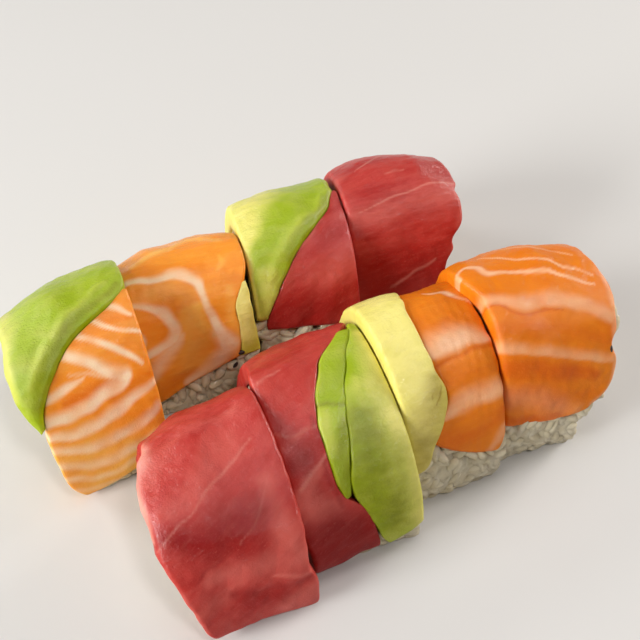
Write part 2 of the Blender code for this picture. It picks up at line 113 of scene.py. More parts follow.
# Grains of rice and sesame
GRAIN_SIZE = (2.6, 1.35, 1.2)   # half length, half width, half height
FOOT_SIZES, END_SIZES = (0.85, 1.1), (0.9, 1.05)   # least and most of the size
FOOT_TILT, END_TILT, BULGE_TILT, SEED_TILT = 0.22, 0.12, 0.2, 0.1   # spread, in radians
GRAIN_STEP = (2.7, 2.35)        # along the roll and round it
GRAIN_INSET = 0.8               # from a free end
GRAIN_LIFT = -1.5               # of a grain's middle
LEAST_FOOT_GIRTH = 0.6          # beyond which grains lie, in front and behind
UNDER_SKIRT, SKIRT_SINK = -0.035, 0.5   # girth they reach under a topping, and their sinking there
END_STEP, END_RISE = 2.45, 0.4  # between the grains of an end, and of the lowest
END_DEPTH = (0.5, 1.0)          # of their middles behind the rice's end
CUT_DEPTH = (0.45, 1.1)         # deeper where another slice lies, in its lower and upper half
SKIRT_HIDES = (0.04, 0.02)      # girth past the toppings' edges where they still count as covered
COVERED_INSET, BARE_INSET = 6.2, 1.8   # of an end's grains from its outline
CROWN_INSET = 1.7               # and from the bed at its top
NORI_CLEAR = 1.35               # of a grain's middle from the nori
NORI_NEAR = 2.6                 # where the grains lie along it
GRAIN_SEED, SESAME_SEED = 11, 101
SEED_SIZE = (1.1, 0.65, 0.4)
SEED_LIFT = -0.3
SESAME = (                      # slice, u, girth, turn in degrees
    ("back_2", 6.9, -0.78, 60), ("back_2", 8.5, -0.71, 10), ("back_4", -6.0, 0.92, 100),
    ("back_3", 2.0, 0.93, 40), ("back_1", 5.0, 0.88, 130), ("front_4", 12.5, -0.53, 96),
)
BULGE = (                       # grains that stand out of the rice: slice, u, girth, lift
    ("front_4", 14.2, -0.2, -2.6), ("front_4", 14.4, -0.27, -2.5), ("front_4", 14.5, -0.34, -2.4),
    ("front_4", 14.4, -0.41, -2.4),
)
BULGE_ALONG = (0.3, 0.9, 0.1)

# Toppings, near the part's: slice, kind, girth of the low and far edge at the left and right
# corner, and borders as (girth, left, right) along u. OUT is as far as the slice's own end. The
# borders were found like the marks further down, and more of them were then changed.
OUT = None
Topping = namedtuple("Topping", "slice kind low high borders")


def lay(piece, kind, low, high, *borders):
    low, high = (tuple(girth / 100 for girth in edge) for edge in (low, high))
    return Topping(piece, kind, low, high, [(girth / 100, left, right) for girth, left, right in borders])


TOPPINGS = {
    "tuna_front_1": lay(
        "front_1", "tuna", (-96.5, -98.5), (80, 80), (-100, -8.6, 14.2), (-90, -11.5, 14.6),
        (-81, -12.2, 14.7), (-75.5, -12.9, 12.9), (-65, -14.2, 13.4), (-50, -16, OUT), (-42, -16.3, OUT),
        (-30, -16, OUT), (-12, -16.2, OUT), (-3, -15, OUT), (6, -12.6, OUT), (20, -11.8, OUT),
        (80, -12.8, OUT)),
    "tuna_front_2": lay(
        "front_2", "tuna", (-98.5, -95.5), (80, 80), (-100, -12.7, 2.6), (-93, -12.8, 3.6),
        (-86, -12.9, 2.9), (-73, OUT, 1.7), (-66, OUT, 0.2), (-61, OUT, -2.6), (-57, OUT, -4),
        (-50, OUT, -4.65), (-36, OUT, -4.75), (-25, OUT, -4.65), (-11, OUT, -2.65), (2, OUT, 1.75),
        (10, OUT, 4.75), (17, OUT, 8.6), (30, OUT, 12.3), (80, OUT, 13.3)),
    "avocado_strip_front_2": lay(
        "front_2", "avocado_green", (-61, -60), (20, 20), (-61, -3.4, -2), (-50, -4.5, -1.35),
        (-36, -4.6, 0.45), (-25, -4.5, 1.65), (-11, -2.5, 4.15), (2, 1.9, 8.15), (10, 5, 10.4),
        (20, 9, 12.1)),
    "avocado_front_2": lay(
        "front_2", "avocado_green", (-96, -87), (27, 27), (-96, 6.2, OUT), (-90, 4.2, OUT), (-84, 3, OUT),
        (-73, 1.5, OUT), (-65, -0.2, OUT), (-57, -1.5, OUT), (-50, -1, OUT), (-36, 0.8, OUT),
        (-25, 1.9, OUT), (-11, 4.3, OUT), (2, 8.3, OUT), (12, 10.9, OUT), (27, 12.2, OUT)),
    "avocado_front_3": lay(
        "front_3", "avocado_pale", (-79, -76), (80, 80), (-79, OUT, -10.2), (-74, OUT, -8.3),
        (-66, OUT, -6.6), (-58, OUT, -4.1), (-50, OUT, -2), (-43, OUT, -1.1), (-36, OUT, -1.5),
        (-30, OUT, -2.4), (-9, OUT, -2.8), (2, OUT, -3), (16, OUT, -2), (35, OUT, -0.6), (80, OUT, -1)),
    "salmon_front_3": lay(
        "front_3", "salmon", (-65.5, -82.5), (80, 80), (-84, 1, 9.4), (-80, -2.6, 11.2), (-76, -5.2, OUT),
        (-70, -6.3, OUT), (-66, -6.3, OUT), (-58, -3.9, OUT), (-50, -1.8, OUT), (-43, -0.9, OUT),
        (-36, -1.3, OUT), (-30, -2.2, OUT), (-9, -2.6, OUT), (2, -2.8, OUT), (16, -1.8, OUT),
        (35, -0.4, OUT), (80, -0.8, OUT)),
    "salmon_front_4": lay(
        "front_4", "salmon", (-80, -82.5), (80, 80), (-83, OUT, 6), (-79, OUT, 9.6), (-75, OUT, 12),
        (-70, OUT, 13.4), (-62, OUT, 14.2), (-56, OUT, 13.6), (-52, OUT, 12.6), (-48, OUT, 13.2),
        (-43, OUT, 14.2), (-33, OUT, 14.7), (-16, OUT, 15.6), (-4, OUT, 15.4), (8, -16.4, 14.6),
        (20, -16.6, 14), (80, OUT, 13.6)),
    "avocado_back_1": lay(
        "back_1", "avocado_green", (-60, -58), (80, 80), (-60, -13.3, -12.8), (-57, -14.3, -12.7),
        (-52, -15.3, -12.1), (-43, -16.2, -9.9), (-32, -16.3, -5.6), (-23, -16, -1.6), (-14, -15.2, 6),
        (-9, -14.7, 10.8), (-3, -14.2, OUT), (14, -13.7, OUT), (80, -13.4, OUT)),
    "salmon_back_1": lay(
        "back_1", "salmon", (-98.5, -88), (-2, -2), (-100, -7.6, OUT), (-96, -9.8, OUT), (-92, -11.3, OUT),
        (-85, -12.6, OUT), (-66, -13, OUT), (-60, -12.7, OUT), (-53, -12.1, OUT), (-43, -9.8, OUT),
        (-32, -5.5, OUT), (-23, -1.5, OUT), (-14, 6.1, OUT), (-9, 10.9, OUT), (-2, 13.2, OUT)),
    "salmon_back_2": lay(
        "back_2", "salmon", (-91.5, -73.5), (80, 80), (-91, OUT, 8.2), (-72, OUT, 8.3), (-62, OUT, 9.1),
        (-50, OUT, 9.1), (-41, OUT, 9.3), (-36, OUT, 10.2), (-29, OUT, 12.2), (-20, OUT, 13.1),
        (-14, OUT, OUT), (80, OUT, OUT)),
    "avocado_back_2": lay(
        "back_2", "avocado_pale", (-73, -72), (-27, -27), (-73, 8.7, 13.2), (-62, 9.2, 13),
        (-50, 9.2, 12.9), (-41, 9.4, 12.7), (-36, 10.3, 12.7), (-27, 11.8, 12.5)),
    "avocado_back_3": lay(
        "back_3", "avocado_green", (-65, -65), (80, 80), (-65, OUT, -10.6), (-55, OUT, -7.9),
        (-43, OUT, -4.8), (-36, OUT, -3), (-27, OUT, -0.4), (-19, OUT, 3), (-9, OUT, 7), (-2, OUT, 9.7),
        (8, OUT, 12), (80, OUT, 12.6)),
    "tuna_back_3": lay(
        "back_3", "tuna", (-71.5, -80), (12, 12), (-80, -9, OUT), (-71, -10.8, OUT), (-65, -10.5, OUT),
        (-55, -7.8, OUT), (-43, -4.7, OUT), (-36, -2.9, OUT), (-27, -0.3, OUT), (-19, 3.1, OUT),
        (-9, 7.1, OUT), (-2, 9.8, OUT), (12, 12.2, OUT)),
    "tuna_back_4": lay(
        "back_4", "tuna", (-90, -88), (80, 80), (-90, OUT, 8.8), (-66, OUT, 10.6), (-61, OUT, 12.8),
        (-55, OUT, 11.5), (-49, OUT, 13.4), (-44, OUT, 14.3), (-32, OUT, 14.7), (-25, OUT, 14.2),
        (-16, OUT, 13.5), (-11, OUT, 15), (0, OUT, 14.6), (18, OUT, 13.6), (80, OUT, 13.3)),
}

# Thickness, radius of the upper edge, and how much the middle swells over the borders
BODY = {"tuna": (3.9, 1.0, 0.0), "salmon": (3.9, 1.0, 0.0),
        "avocado_green": (4.2, 1.2, 0.4), "avocado_pale": (4.6, 1.1, 0.3)}
OWN_BODY = {"avocado_back_1": (4.7, 1.8, 0.3), "avocado_back_3": (4.7, 1.8, 0.2),
            "avocado_back_2": (3.8, 0.6, 0.0), "avocado_front_3": (4.8, 1.1, 0.2)}

# Radius of the upper edge where the knife went through, and beside a piece that lies close
CUT_RADIUS = 0.6
OWN_CUT_RADIUS = {("tuna_front_1", 1): 0.8, ("tuna_back_4", -1): 1.2, ("salmon_front_4", -1): 1.3,
                  ("salmon_front_3", 1): 1.0, ("avocado_front_3", -1): 0.9}
OWN_SIDE_RADIUS = {
    ("tuna_front_2", 1): 0.4, ("avocado_strip_front_2", -1): 0.9, ("avocado_strip_front_2", 1): 0.6,
    ("avocado_front_2", -1): 0.6, ("avocado_front_3", 1): 0.9, ("salmon_front_3", -1): 0.4,
    ("salmon_back_1", -1): 0.4, ("tuna_back_3", -1): 0.4, ("salmon_back_2", 1): 0.6,
}
AVOCADO_LAP = 0.2               # over a piece beside it in the same slice
LOW_BULGE = {"salmon_front_3": 0.045, "salmon_front_4": 0.02, "salmon_back_1": 0.04}   # in girth
BORDER_BLUR = (-0.03, -0.015, 0.0, 0.015, 0.03)   # girths over which a border's corners are eased
EDGE_STEPS = (0.0, 0.06, 0.2, 0.4, 0.7, 1.0, 1.35)   # fine rows at an edge, of its radius
SLAB_STEP = (0.42, 0.5)         # size of a slab's faces across and down it
SLAB_RAISE = 0.7                # of its upper face, over its thickness on the bed
UNDER_GAP = 0.2                 # between its underside and the bed
UNDER_ROWS, UNDER_COLUMNS = 6, 5   # upper rows to each of its underside's, and its columns
WALL_SHARES = (0.3, 0.65, 1.0)  # of the way down its sides
ROUGH_BORDER, ROUGH_CUT, ROUGH_LENGTH = 0.12, 0.03, 5.0   # wandering of a border and a cut
CROWN_SUNK = 0.6                # share of a swollen middle by which its borders sink
FACE_SWELLS = ((0.16, 9.0, 80), (0.05, 2.6, 120))   # height, length and seed of unevenness
TOPPING_FLOOR, RICE_FLOOR = 0.0002, 0.0001   # least height over the table, in metres
FAR_OFF = 100                   # between the flesh patterns of two toppings

# Which way the flesh's fibres run, in degrees from the roll's length
FIBRE_TURN = {"tuna_front_1": 30, "tuna_front_2": 20, "tuna_back_3": 30, "tuna_back_4": 10,
              "salmon_front_3": 5, "salmon_front_4": -23, "salmon_back_1": -12}

# Marks on the toppings, with points as (u, girth, width). Most points were read by eye in the photo
# and turned into u and girth by a scratch program, and many were then rounded or moved by hand. Fat
# is the light lines of the fish, deep is darker colour and pale is lighter colour: mostly darker
# and lighter flesh, and where marked below, painted shade, painted light and painted highlight.
# Soft is the share of the width over which a mark fades, relief how far it stands up, and bleed how
# far it fades out above.
MARK_SEED = 300
MARK_WANDER = (0.25, 7.0)       # how far a mark strays, and the length over which it does
FAT_STRENGTH = (0.86, 0.2, 6.0)   # of the light lines: its middle, spread and length of change
Mark = namedtuple("Mark", "channel strength points soft relief bleed")


def marker(channel):
    def mark(strength, *points, soft=1.0, relief=0.0, bleed=0.0):
        points = [(u, girth / 100, width) for u, girth, width in points]
        return Mark(channel, strength, points, soft, relief, bleed)
    return mark


fat, deep, pale = (marker(channel) for channel in range(3))

MARKS = {
    "tuna_front_1": (
        fat(0.3, (9.7, -7, 0.2), (8, -9, 0.45), (3.5, -14, 0.5), (1, -17, 0.5), (-3, -22, 0.45),
            (-7, -29, 0.4), (-11.5, -33.5, 0.4), (-16, -40, 0.3), relief=-0.04),
        fat(0.2, (8.5, -30, 0.2), (7.3, -33, 0.45), (5.3, -39, 0.45), (4, -42, 0.4), (0.2, -49, 0.2),
            relief=-0.04),
        deep(0.7, (-0.5, -50, 0.3), (-4, -54, 1), (-7.3, -56, 1.1), (-11, -61, 0.5), relief=-0.12),
        deep(1, (-13, -37, 5), (-7, -43, 10), (0, -42, 12), (5, -37, 8)),
        deep(0.4, (0.3, -23, 0.4), (4, -24.5, 0.9), (6.1, -25, 0.4), relief=-0.06),
        pale(0.7, (-8, -62, 2.5), (-6.4, -61, 4), (2.3, -62, 5), (12.6, -66, 6)),
        pale(0.75, (8.7, -27, 3), (8.5, -39, 4), (9.5, -52, 6), (12, -66, 6.5)),
        pale(0.9, (4.5, -70, 0.5), (7.4, -72, 0.9), (10.3, -74.5, 1), (13, -75.5, 0.9), soft=0.9,
            relief=0.15),
        deep(0.55, (1, -77, 1.5), (5.8, -78.5, 2.4), (9.6, -80, 2.2), (12.8, -79, 1.4), relief=-0.25),
        deep(0.7, (-4, -74, 2), (-2.6, -75, 4), (2.5, -82, 5), (6.7, -83, 4)),
        pale(0.7, (6, -90, 4), (10, -88, 5), (13, -86, 4)),
        pale(0.5, (-11.5, -78, 3), (-6.3, -73, 3.5), (-2, -67, 2.5)),
        fat(0.9, (-16.3, -36, 0.8), (-16.2, -12, 1.8), (-15.2, -3, 3), (-12.5, 3, 3), (-11.5, 20, 2)),
        pale(0.8, (-16.2, -50, 1.2), (-15, -62, 1.4), (-12.8, -76, 1.4), (-11.4, -92, 1.4)),
        pale(0.45, (-14, -8, 3), (-4, 5, 3), (8, 8, 3)),
        pale(0.35, (-13, -26, 4), (-6, -20, 6), (4, -6, 5)),
    ),
    "tuna_front_2": (
        fat(0.3, (-13, 0, 0.4), (-10, 1, 0.5), (-6.6, 3, 0.3), relief=-0.04),
        fat(0.25, (-14.6, -20, 0.3), (-11, -24, 0.6), (-7, -24, 0.6), (-4.8, -24, 0.3), relief=-0.04),
        pale(0.85, (-5.7, -41, 1.5), (-9.9, -47, 3), (-12.5, -54, 5), (-10, -60, 7), (-6.6, -62, 5),
            soft=0.8),
        fat(0.4, (-4.9, -37, 0.6), (-9.4, -44, 0.9), (-12.6, -48.5, 0.8), soft=0.8, relief=0.06),
        deep(0.7, (-12.5, -37, 4), (-8.1, -34, 5), (-5, -29, 4)),
        # painted shade: the lowest part of the front face made darker, where the slice lies in shade
        deep(1, (-13, -80, 13), (-7, -82, 15), (2, -84, 14), soft=0.6),
        deep(0.6, (-5, -20, 1), (-5.6, -35, 1.4), (-5.4, -50, 1.4), (-4.4, -63, 1.6), relief=-0.1),
    ),
    "tuna_back_3": (
        # painted shade: the low front face made darker, where it lies in shade
        deep(0.65, (-10, -66, 7), (-2, -65, 8), (6, -64, 8), (13, -62, 8), soft=0.8),
        # painted highlight: a paler band where the gloss falls across the front face
        pale(0.35, (-5, -46, 5), (1, -44, 7), (6, -43, 7), (12, -40, 7)),
        pale(0.7, (-2.6, -33, 0.4), (1.6, -23, 0.8), (4, -18, 0.6), (7.4, -10, 0.3), soft=0.8),
    ),
    "tuna_back_4": (
        fat(0.55, (-11, -26, 0.3), (-6, -21.5, 0.4), (-3, -19, 0.5), (1.8, -16, 0.5), (6.2, -13, 0.7),
            (10.7, -12, 0.8), (14.7, -12, 0.6), soft=0.9, relief=-0.04),
        fat(0.4, (-9, 12, 0.3), (-5.9, 15, 0.6), (-1.6, 23, 0.4), soft=0.9),
        fat(0.4, (-2.1, 2, 0.3), (0, 3, 0.6), (2.5, 2, 0.3), soft=0.9),
        pale(0.6, (-16, 8, 2.5), (-13.8, 10, 3), (-11, 13, 2)),
        # painted highlight: a paler pink band where the gloss falls below the light line
        pale(0.6, (-12, -30, 5), (-4, -28, 7), (5, -25, 8), (13, -22, 8)),
        # painted shade: the low front face made darker, where it lies in shade
        deep(0.65, (-13, -63, 9), (-6, -67, 11), (2, -68, 11), (9, -68, 9), soft=0.8),
        fat(0.4, (-4.3, -76, 0.5), (-2.5, -75, 0.8), (1, -70, 0.7), (4.2, -68, 0.7), (7.4, -65, 0.5),
            relief=0.05),
        pale(0.5, (14.5, -20, 1), (14, -35, 1.4), (13, -50, 1.2), (12, -61, 1.4)),
    ),
    "salmon_front_3": (
        fat(0.8, (4, 20, 0.5), (5.2, 15, 0.9), (7.3, 14, 1.3), (9.4, 6, 1.1), (11.9, 0, 0.6), soft=0.7,
            relief=-0.05),
        fat(0.72, (-3.5, -20, 2.4), (-0.5, -19, 4.4), (3.8, -17, 4.6), (8.8, -19.5, 3), (12, -22, 1.6),
            soft=0.5, relief=0.1, bleed=1.2),
        deep(0.6, (-1.9, -28, 0.8), (1, -26, 1), (3.8, -25, 0.8), (8.6, -25, 0.9), (12, -26, 0.8), soft=0.9,
            relief=-0.12),
        fat(0.5, (-4, -55, 0.8), (1.2, -50.5, 3.4), (6, -49, 3.6), (12, -49, 3), soft=0.7, bleed=1),
        fat(0.3, (7.5, -80, 1.5), (10, -74, 2), (11.5, -69, 1.6)),
        deep(0.3, (-3, -36, 4), (5, -36, 4), (12, -36, 4)),
        deep(0.5, (-4, -66, 5), (5, -68, 5), (11, -61, 4)),
    ),
    "salmon_front_4": (
        fat(0.45, (-4, 34, 0.4), (1, 24, 0.6), (6, 15, 0.6), (11, 7, 0.5), soft=0.9, relief=-0.04),
        fat(0.6, (-9, 30, 0.4), (-7.1, 26, 0.6), (-2.1, 13, 0.7), (3.6, 6, 0.7), (6.7, 1, 0.6),
            (9.6, -2, 0.6), (12.7, -7, 0.5), soft=0.8, relief=-0.05),
        fat(0.7, (-16.3, 9, 0.8), (-15.8, 15, 0.9), (-13.7, 19, 1.1), (-11.5, 15, 1.5), (-10.1, 8, 1.7),
            (-6.2, 5, 1), (-1.5, 2, 0.8), (2.2, 0, 0.8), (6.3, -4, 0.8), (8.9, -9, 0.7), (11.9, -13, 0.5),
            soft=0.7, relief=-0.05),
        fat(0.45, (-15.4, -5.5, 1.6), (-10, -10, 2), (-6.5, -14, 3.6), (-2, -15, 3.6), (3, -18, 3),
            (7, -23.5, 2.8), (10.5, -30, 2.6), (13, -36, 2.4), soft=0.6, relief=0.06, bleed=0.8),
        deep(0.7, (-14.4, -10, 0.5), (-11, -11.5, 0.7), (-8.4, -18.5, 0.8), (-5, -21, 0.8), (-1, -21, 0.7),
            (2.6, -23, 0.5), soft=0.9, relief=-0.15),
        fat(0.42, (-15.4, -35, 1.8), (-10, -39.5, 1.6), (-3.7, -45, 1.4), (2, -50, 1.3), (8.5, -56, 1.2),
            (12.8, -59, 1), soft=0.6, bleed=1.6),
        # painted shade: darker below the broad light line, where the face turns down into shade
        deep(0.8, (-15, -46, 5), (-6, -53, 5), (2, -59, 4), (8, -64, 2.5), soft=0.8),
        fat(0.16, (-14, -63, 4.5), (-6, -68.5, 4.8), (-0.8, -75.5, 4.6), (4.5, -80, 2)),
        deep(0.8, (-14, -76, 2.5), (-6, -80, 2.2), (0, -80, 1.5)),
        # painted shade: the lower left made darker, where the face lies in shade
        deep(0.55, (-15, -60, 6), (-8, -66, 7), (-1, -72, 6)),
        fat(0.35, (15.2, -5, 1), (14.8, -19, 1.4), (14, -31, 1.6), (13.6, -42, 1.4), (13.4, -60, 1),
            (12.8, -72, 1.4), (8, -80, 1), soft=0.9),
        deep(0.4, (-14, -25, 4), (-5, -31, 5), (5, -39, 4), (12, -48, 3)),
    ),
    "salmon_back_1": (
        fat(0.85, (8.5, -10.5, 0.7), (9.4, -11, 1.4), (11.3, -14, 1.5), (13, -19, 0.9), soft=0.6,
            relief=-0.08),
        fat(0.85, (4.5, -16, 0.7), (5.3, -17, 1), (7.7, -22, 1), (12.2, -28, 0.9), (14, -30, 0.8), soft=0.6,
            relief=-0.08),
        fat(0.9, (0.6, -20, 0.8), (1.5, -22, 1.2), (4.2, -27, 1.5), (7.2, -34, 1.5), (9.3, -39, 1.3),
            (11.7, -45, 0.9), soft=0.6, relief=-0.08),
        fat(0.95, (-5, -27.5, 1.6), (-3.4, -29, 2), (-0.8, -33, 2.1), (2.2, -39, 2.2), (4.9, -44, 2.4),
            (7.3, -47.5, 2.2), soft=0.5, relief=-0.08, bleed=0.5),
        fat(0.95, (7.3, -47.5, 2.2), (5.4, -50.5, 2.6), (1, -53.5, 2.3), (-2.3, -56, 2.2), (-6.4, -57, 2.2),
            (-12.4, -56.5, 1.8), soft=0.5, relief=-0.08, bleed=0.5),
        fat(0.85, (-11, -47, 1), (-10.2, -46, 1.8), (-7.5, -44, 2), (-4.7, -42.5, 1.6), (-1.5, -42, 0.7),
            soft=0.7, relief=-0.05),
        fat(0.5, (-4, -38, 0.5), (0.1, -41, 0.8), (3.8, -45, 0.8), soft=0.9),
        fat(0.9, (13, -56, 1.2), (9, -58.5, 1.8), (4.3, -62, 2.2), (1.2, -64, 2.2), (-3.3, -66, 2),
            (-8, -65.5, 1.7), (-13.2, -63, 1.4), soft=0.6, relief=-0.08, bleed=0.4),
        fat(0.75, (12, -67, 1.2), (10.6, -69.5, 1.6), (3.7, -74.5, 1.9), (-4.1, -75.5, 1.8),
            (-12.8, -70, 1.3), soft=0.6, relief=-0.08, bleed=0.4),
        fat(0.65, (11.2, -79, 1), (6.5, -82.5, 1.5), (0.9, -84.5, 1.6), (-6.6, -83, 1.5),
            (-12.6, -77.5, 1.2), soft=0.7, relief=-0.08, bleed=0.4),
        fat(0.55, (8.4, -87, 1), (4.4, -89.5, 1.2), (-3.8, -91, 1.3), (-12.6, -84.5, 1), soft=0.8,
            relief=-0.08),
        fat(0.45, (2, -97.5, 1), (-4, -96.5, 1.1), (-8.2, -94.5, 1.1), (-12.4, -91, 1), soft=0.9,
            relief=-0.08),
        deep(0.7, (-7, -50.5, 2), (-3, -49.5, 3.4), (2, -48.5, 3), (5, -47.5, 1.5)),
        deep(0.5, (3, -56, 2), (8, -53, 3), (13, -50, 3)),
        # painted light: the low front face made lighter, standing in for light that does not reach it
        pale(1, (-12, -82, 15), (-4, -88, 16), (8, -90, 14)),
    ),
    "salmon_back_2": (
        fat(0.9, (-15, -11, 1.3), (-13.9, -11, 1.6), (-8.8, -14, 1.7), (-5.9, -13.5, 2.4), (-3.1, -13, 3),
            (-0.3, -17, 2.8), (1.6, -22, 2.3), (2.1, -30, 1.7), (2.6, -39, 1.6), (3.5, -46, 1.9),
            (4.5, -56, 2.8), (6, -65, 4), soft=0.5, relief=-0.08, bleed=0.5),
        fat(0.95, (-15, -28, 1.2), (-10.2, -32, 1.6), (-7.3, -38, 2.1), (-5.8, -45, 2.5), (-5.6, -50, 2.5),
            (-7.2, -55, 2.1), (-10.1, -59, 1.8), (-14.4, -62.5, 1.3), soft=0.5, relief=-0.08, bleed=0.4),
        fat(0.8, (-14.8, -44, 1), (-13.4, -51, 1.4), (-13.8, -58, 1), soft=0.7, relief=-0.05),
        fat(0.7, (-4.5, -53, 1.2), (-5.8, -56, 2.5), (-8.4, -63, 3.2), (-11.4, -69, 3), (-14, -76, 2.2)),
        fat(0.7, (4, -56, 3), (5.9, -66, 4), (2.5, -73, 3.4), (-0.6, -77, 2.6), (-5, -82, 1.5)),
        deep(0.4, (-3, -76, 2.6), (-8.6, -80, 3), (-12, -86, 3)),
        pale(0.85, (-12, 2, 1.5), (-9, 6, 2.2), (-4.2, 13, 2.6), (2.3, 22, 2.6), (8.9, 13, 2)),
        pale(0.6, (8.2, -3, 0.6), (8.3, -10, 1.4), (6.7, -16, 0.8), soft=0.9, relief=0.05),
        pale(0.4, (-10, -24, 3), (-3, -26, 5), (-1, -36, 4)),
        pale(0.5, (8.6, -30, 2), (8, -45, 2.2), (8.4, -62, 2)),
        # painted light: the low front face made lighter, standing in for light that the front row keeps off
        pale(0.95, (-0.5, -40, 5), (-1.5, -54, 8), (-3, -68, 8)),
    ),
    "avocado_strip_front_2": (
        deep(0.6, (-4.4, -16, 0.6), (-1, -16.5, 0.9), (3, -18.5, 0.8), soft=0.8, relief=-0.3),
        pale(0.4, (-2, -20, 2), (-3, -26, 2.5), (-2.8, -34, 2)),
        # painted shade: the lower part made darker, where the slice lies in shade
        deep(0.7, (1, -25, 1.2), (-1, -36, 3.6), (-2, -46, 4.4), (-2.4, -58, 3), relief=-0.1),
    ),
    "avocado_front_2": (
        pale(0.4, (7.4, -10, 2), (6.7, -16, 4), (6.6, -22, 3), relief=0.1),
        pale(1, (13.5, 10, 3), (13.5, -5, 6), (13.3, -20, 10), (13.3, -40, 10), (13.5, -60, 11),
            (14, -80, 10)),
        # painted shade: a broad darker zone over the lower middle, where the slice lies in shade
        deep(0.85, (4.5, -30, 8), (4, -42, 14), (4.5, -56, 15), (6, -70, 12), (7, -80, 8)),
        pale(0.3, (5, -87, 4), (9, -86, 6), (13, -84, 6)),
    ),
    "avocado_front_3": (
        pale(1, (-6, 80, 16), (-6.5, 10, 15), (-6.5, -15, 16), (-7, -35, 15), (-9, -60, 10), (-11, -75, 6)),
        deep(0.9, (-2.2, -37.5, 0.5), (-3.1, -42, 0.8), (-4.2, -45, 0.3), soft=0.8, relief=-0.1),
        deep(0.8, (-4.7, -40, 0.5), (-4.9, -43, 0.4), soft=0.8, relief=-0.1),
        # painted shade: the lower half made darker, where the face turns down into shade
        deep(0.6, (-3, -34, 4), (-5, -46, 8), (-7, -56, 10), (-10, -68, 9)),
    ),
    "avocado_back_1": (
        pale(0.2, (11, 3, 1), (8.3, 1, 1.4), (5, -4, 1.8), (-0.7, -11, 2.2), (-6.2, -22, 2.4),
            (-9.8, -30, 2.4), (-12.6, -37, 1.8), relief=0.4),
        deep(0.6, (13, -1, 1.5), (8, -7, 2.2), (1, -14, 2.6), (-4, -23, 2.8), (-9, -37, 2.8),
            (-12.3, -48, 2.4)),
        pale(0.55, (-12, 30, 3), (-12.5, 5, 4), (-13.9, -8, 3.4), (-15.4, -21, 2.4), (-16.4, -40, 1.6)),
    ),
    "avocado_back_2": (
        pale(1, (11.5, -25, 6), (10.5, -45, 6), (10, -60, 5)),
        deep(0.4, (13, -45, 1.5), (12.6, -60, 3), (11, -72, 4)),
    ),
    "avocado_back_3": (
        pale(1, (-13.5, 60, 30), (-13.5, 16, 22), (-13.8, 0, 15), (-14, -12, 9.5), (-14, -29, 4.2),
            (-13.6, -62, 3.2), soft=0.45),
        pale(0.15, (8.5, 5, 1), (5.9, -6, 1.8), (2.6, -9, 2), (-2.4, -20, 2.4), (-6.3, -35, 2.2),
            (-7.9, -42, 1.6), relief=0.35),
        # painted light: the low tip made lighter, standing in for light that does not reach it
        pale(0.55, (-8.5, -40, 5), (-9.6, -50, 6), (-11, -62, 5)),
        deep(0.4, (11, 6, 1.6), (7, -5, 2), (1, -18, 2.4), (-3.4, -32, 1.6)),
    ),
}


def smooth(value):
    value = np.clip(value, 0.0, 1.0)
    return value * value * (3 - 2 * value)


def mix(low, high, share):
    return low + (high - low) * share


# ---------------------------------------------------------------- the outer form

def turned(degrees):
    a = math.radians(degrees)
    return np.array(((math.cos(a), -math.sin(a)), (math.sin(a), math.cos(a))))


def end_line(name, side):
    """A slice's end as u at y = 0 and its slope: halfway to the slice beside it, if any."""
    row = next(row for row in ROWS if name in row)
    beside = row.index(name) + side
    piece = SLICES[name]
    if beside not in range(len(row)):
        return side * piece.length / 2, 0.0
    other = SLICES[row[beside]]
    own = np.array((piece.x, piece.y)) + turned(piece.turn) @ (side * piece.length / 2, 0)
    far = np.array((other.x, other.y)) - turned(other.turn) @ (side * other.length / 2, 0)
    meeting = turned(-piece.turn) @ ((own + far) / 2 - (piece.x, piece.y))
    slope = -math.tan(math.radians(other.turn - piece.turn) / 2)
    return meeting[0] - meeting[1] * slope - side * CUT_GAP / 2, slope


ENDS = {(name, side): end_line(name, side) for name in SLICES for side in (-1, 1)}


def end_at(name, side, y):
    middle, slope = ENDS[name, side]
    trim, start, full = END_TRIM.get((name, side), (0.0, 0.0, 1.0))
    return middle + slope * y - side * trim * smooth((y - start) / (full - start))


def rice_end(name, side, y):
    return end_at(name, side, y) - side * END_SETBACK.get((name, side), RICE_SETBACK)


def foot_end(name, side, y, z):
    """Where the rice ends, which at some free ends lies further in round the front foot."""
    away = np.hypot(y + SLICES[name].front, z)
    short = FOOT_SHORT.get((name, side), 0.0) * smooth((FOOT_REACH - away) / FOOT_FADE)
    return rice_end(name, side, y) - side * short


def tucked(piece, reach, z):
    """How far the form reaches at a height, with its foot curved in."""
    return reach - piece.tuck * np.maximum(0.0, 1 - z / FOOT_RISE) ** 2


def arch(piece, girth, lift):
    """The slice's y and z at a girth and a lift."""
    angle = (np.asarray(girth, dtype=float) + 1) * math.pi / 2
    across, up = np.cos(angle), np.maximum(np.sin(angle), 0.0)
    z = (piece.height + lift) * up ** (2 / piece.power)
    reach = np.where(across > 0, piece.front, piece.back) + lift
    return np.copysign(np.abs(across) ** (2 / piece.power) * tucked(piece, reach, z), -across), z


def sag(name, u, girth, y):
    """How far the slumped corners of a slice's ends lie under its outer form."""
    depth = 0.0
    for side in (-1, 1):
        length, full, start, done = SAG.get((name, side), (1.0, 0.0, 0.0, 1.0))
        inside = side * (end_at(name, side, y) - u)
        depth = depth + full * smooth(1 - inside / length) * smooth((girth - start) / (done - start))
    return depth


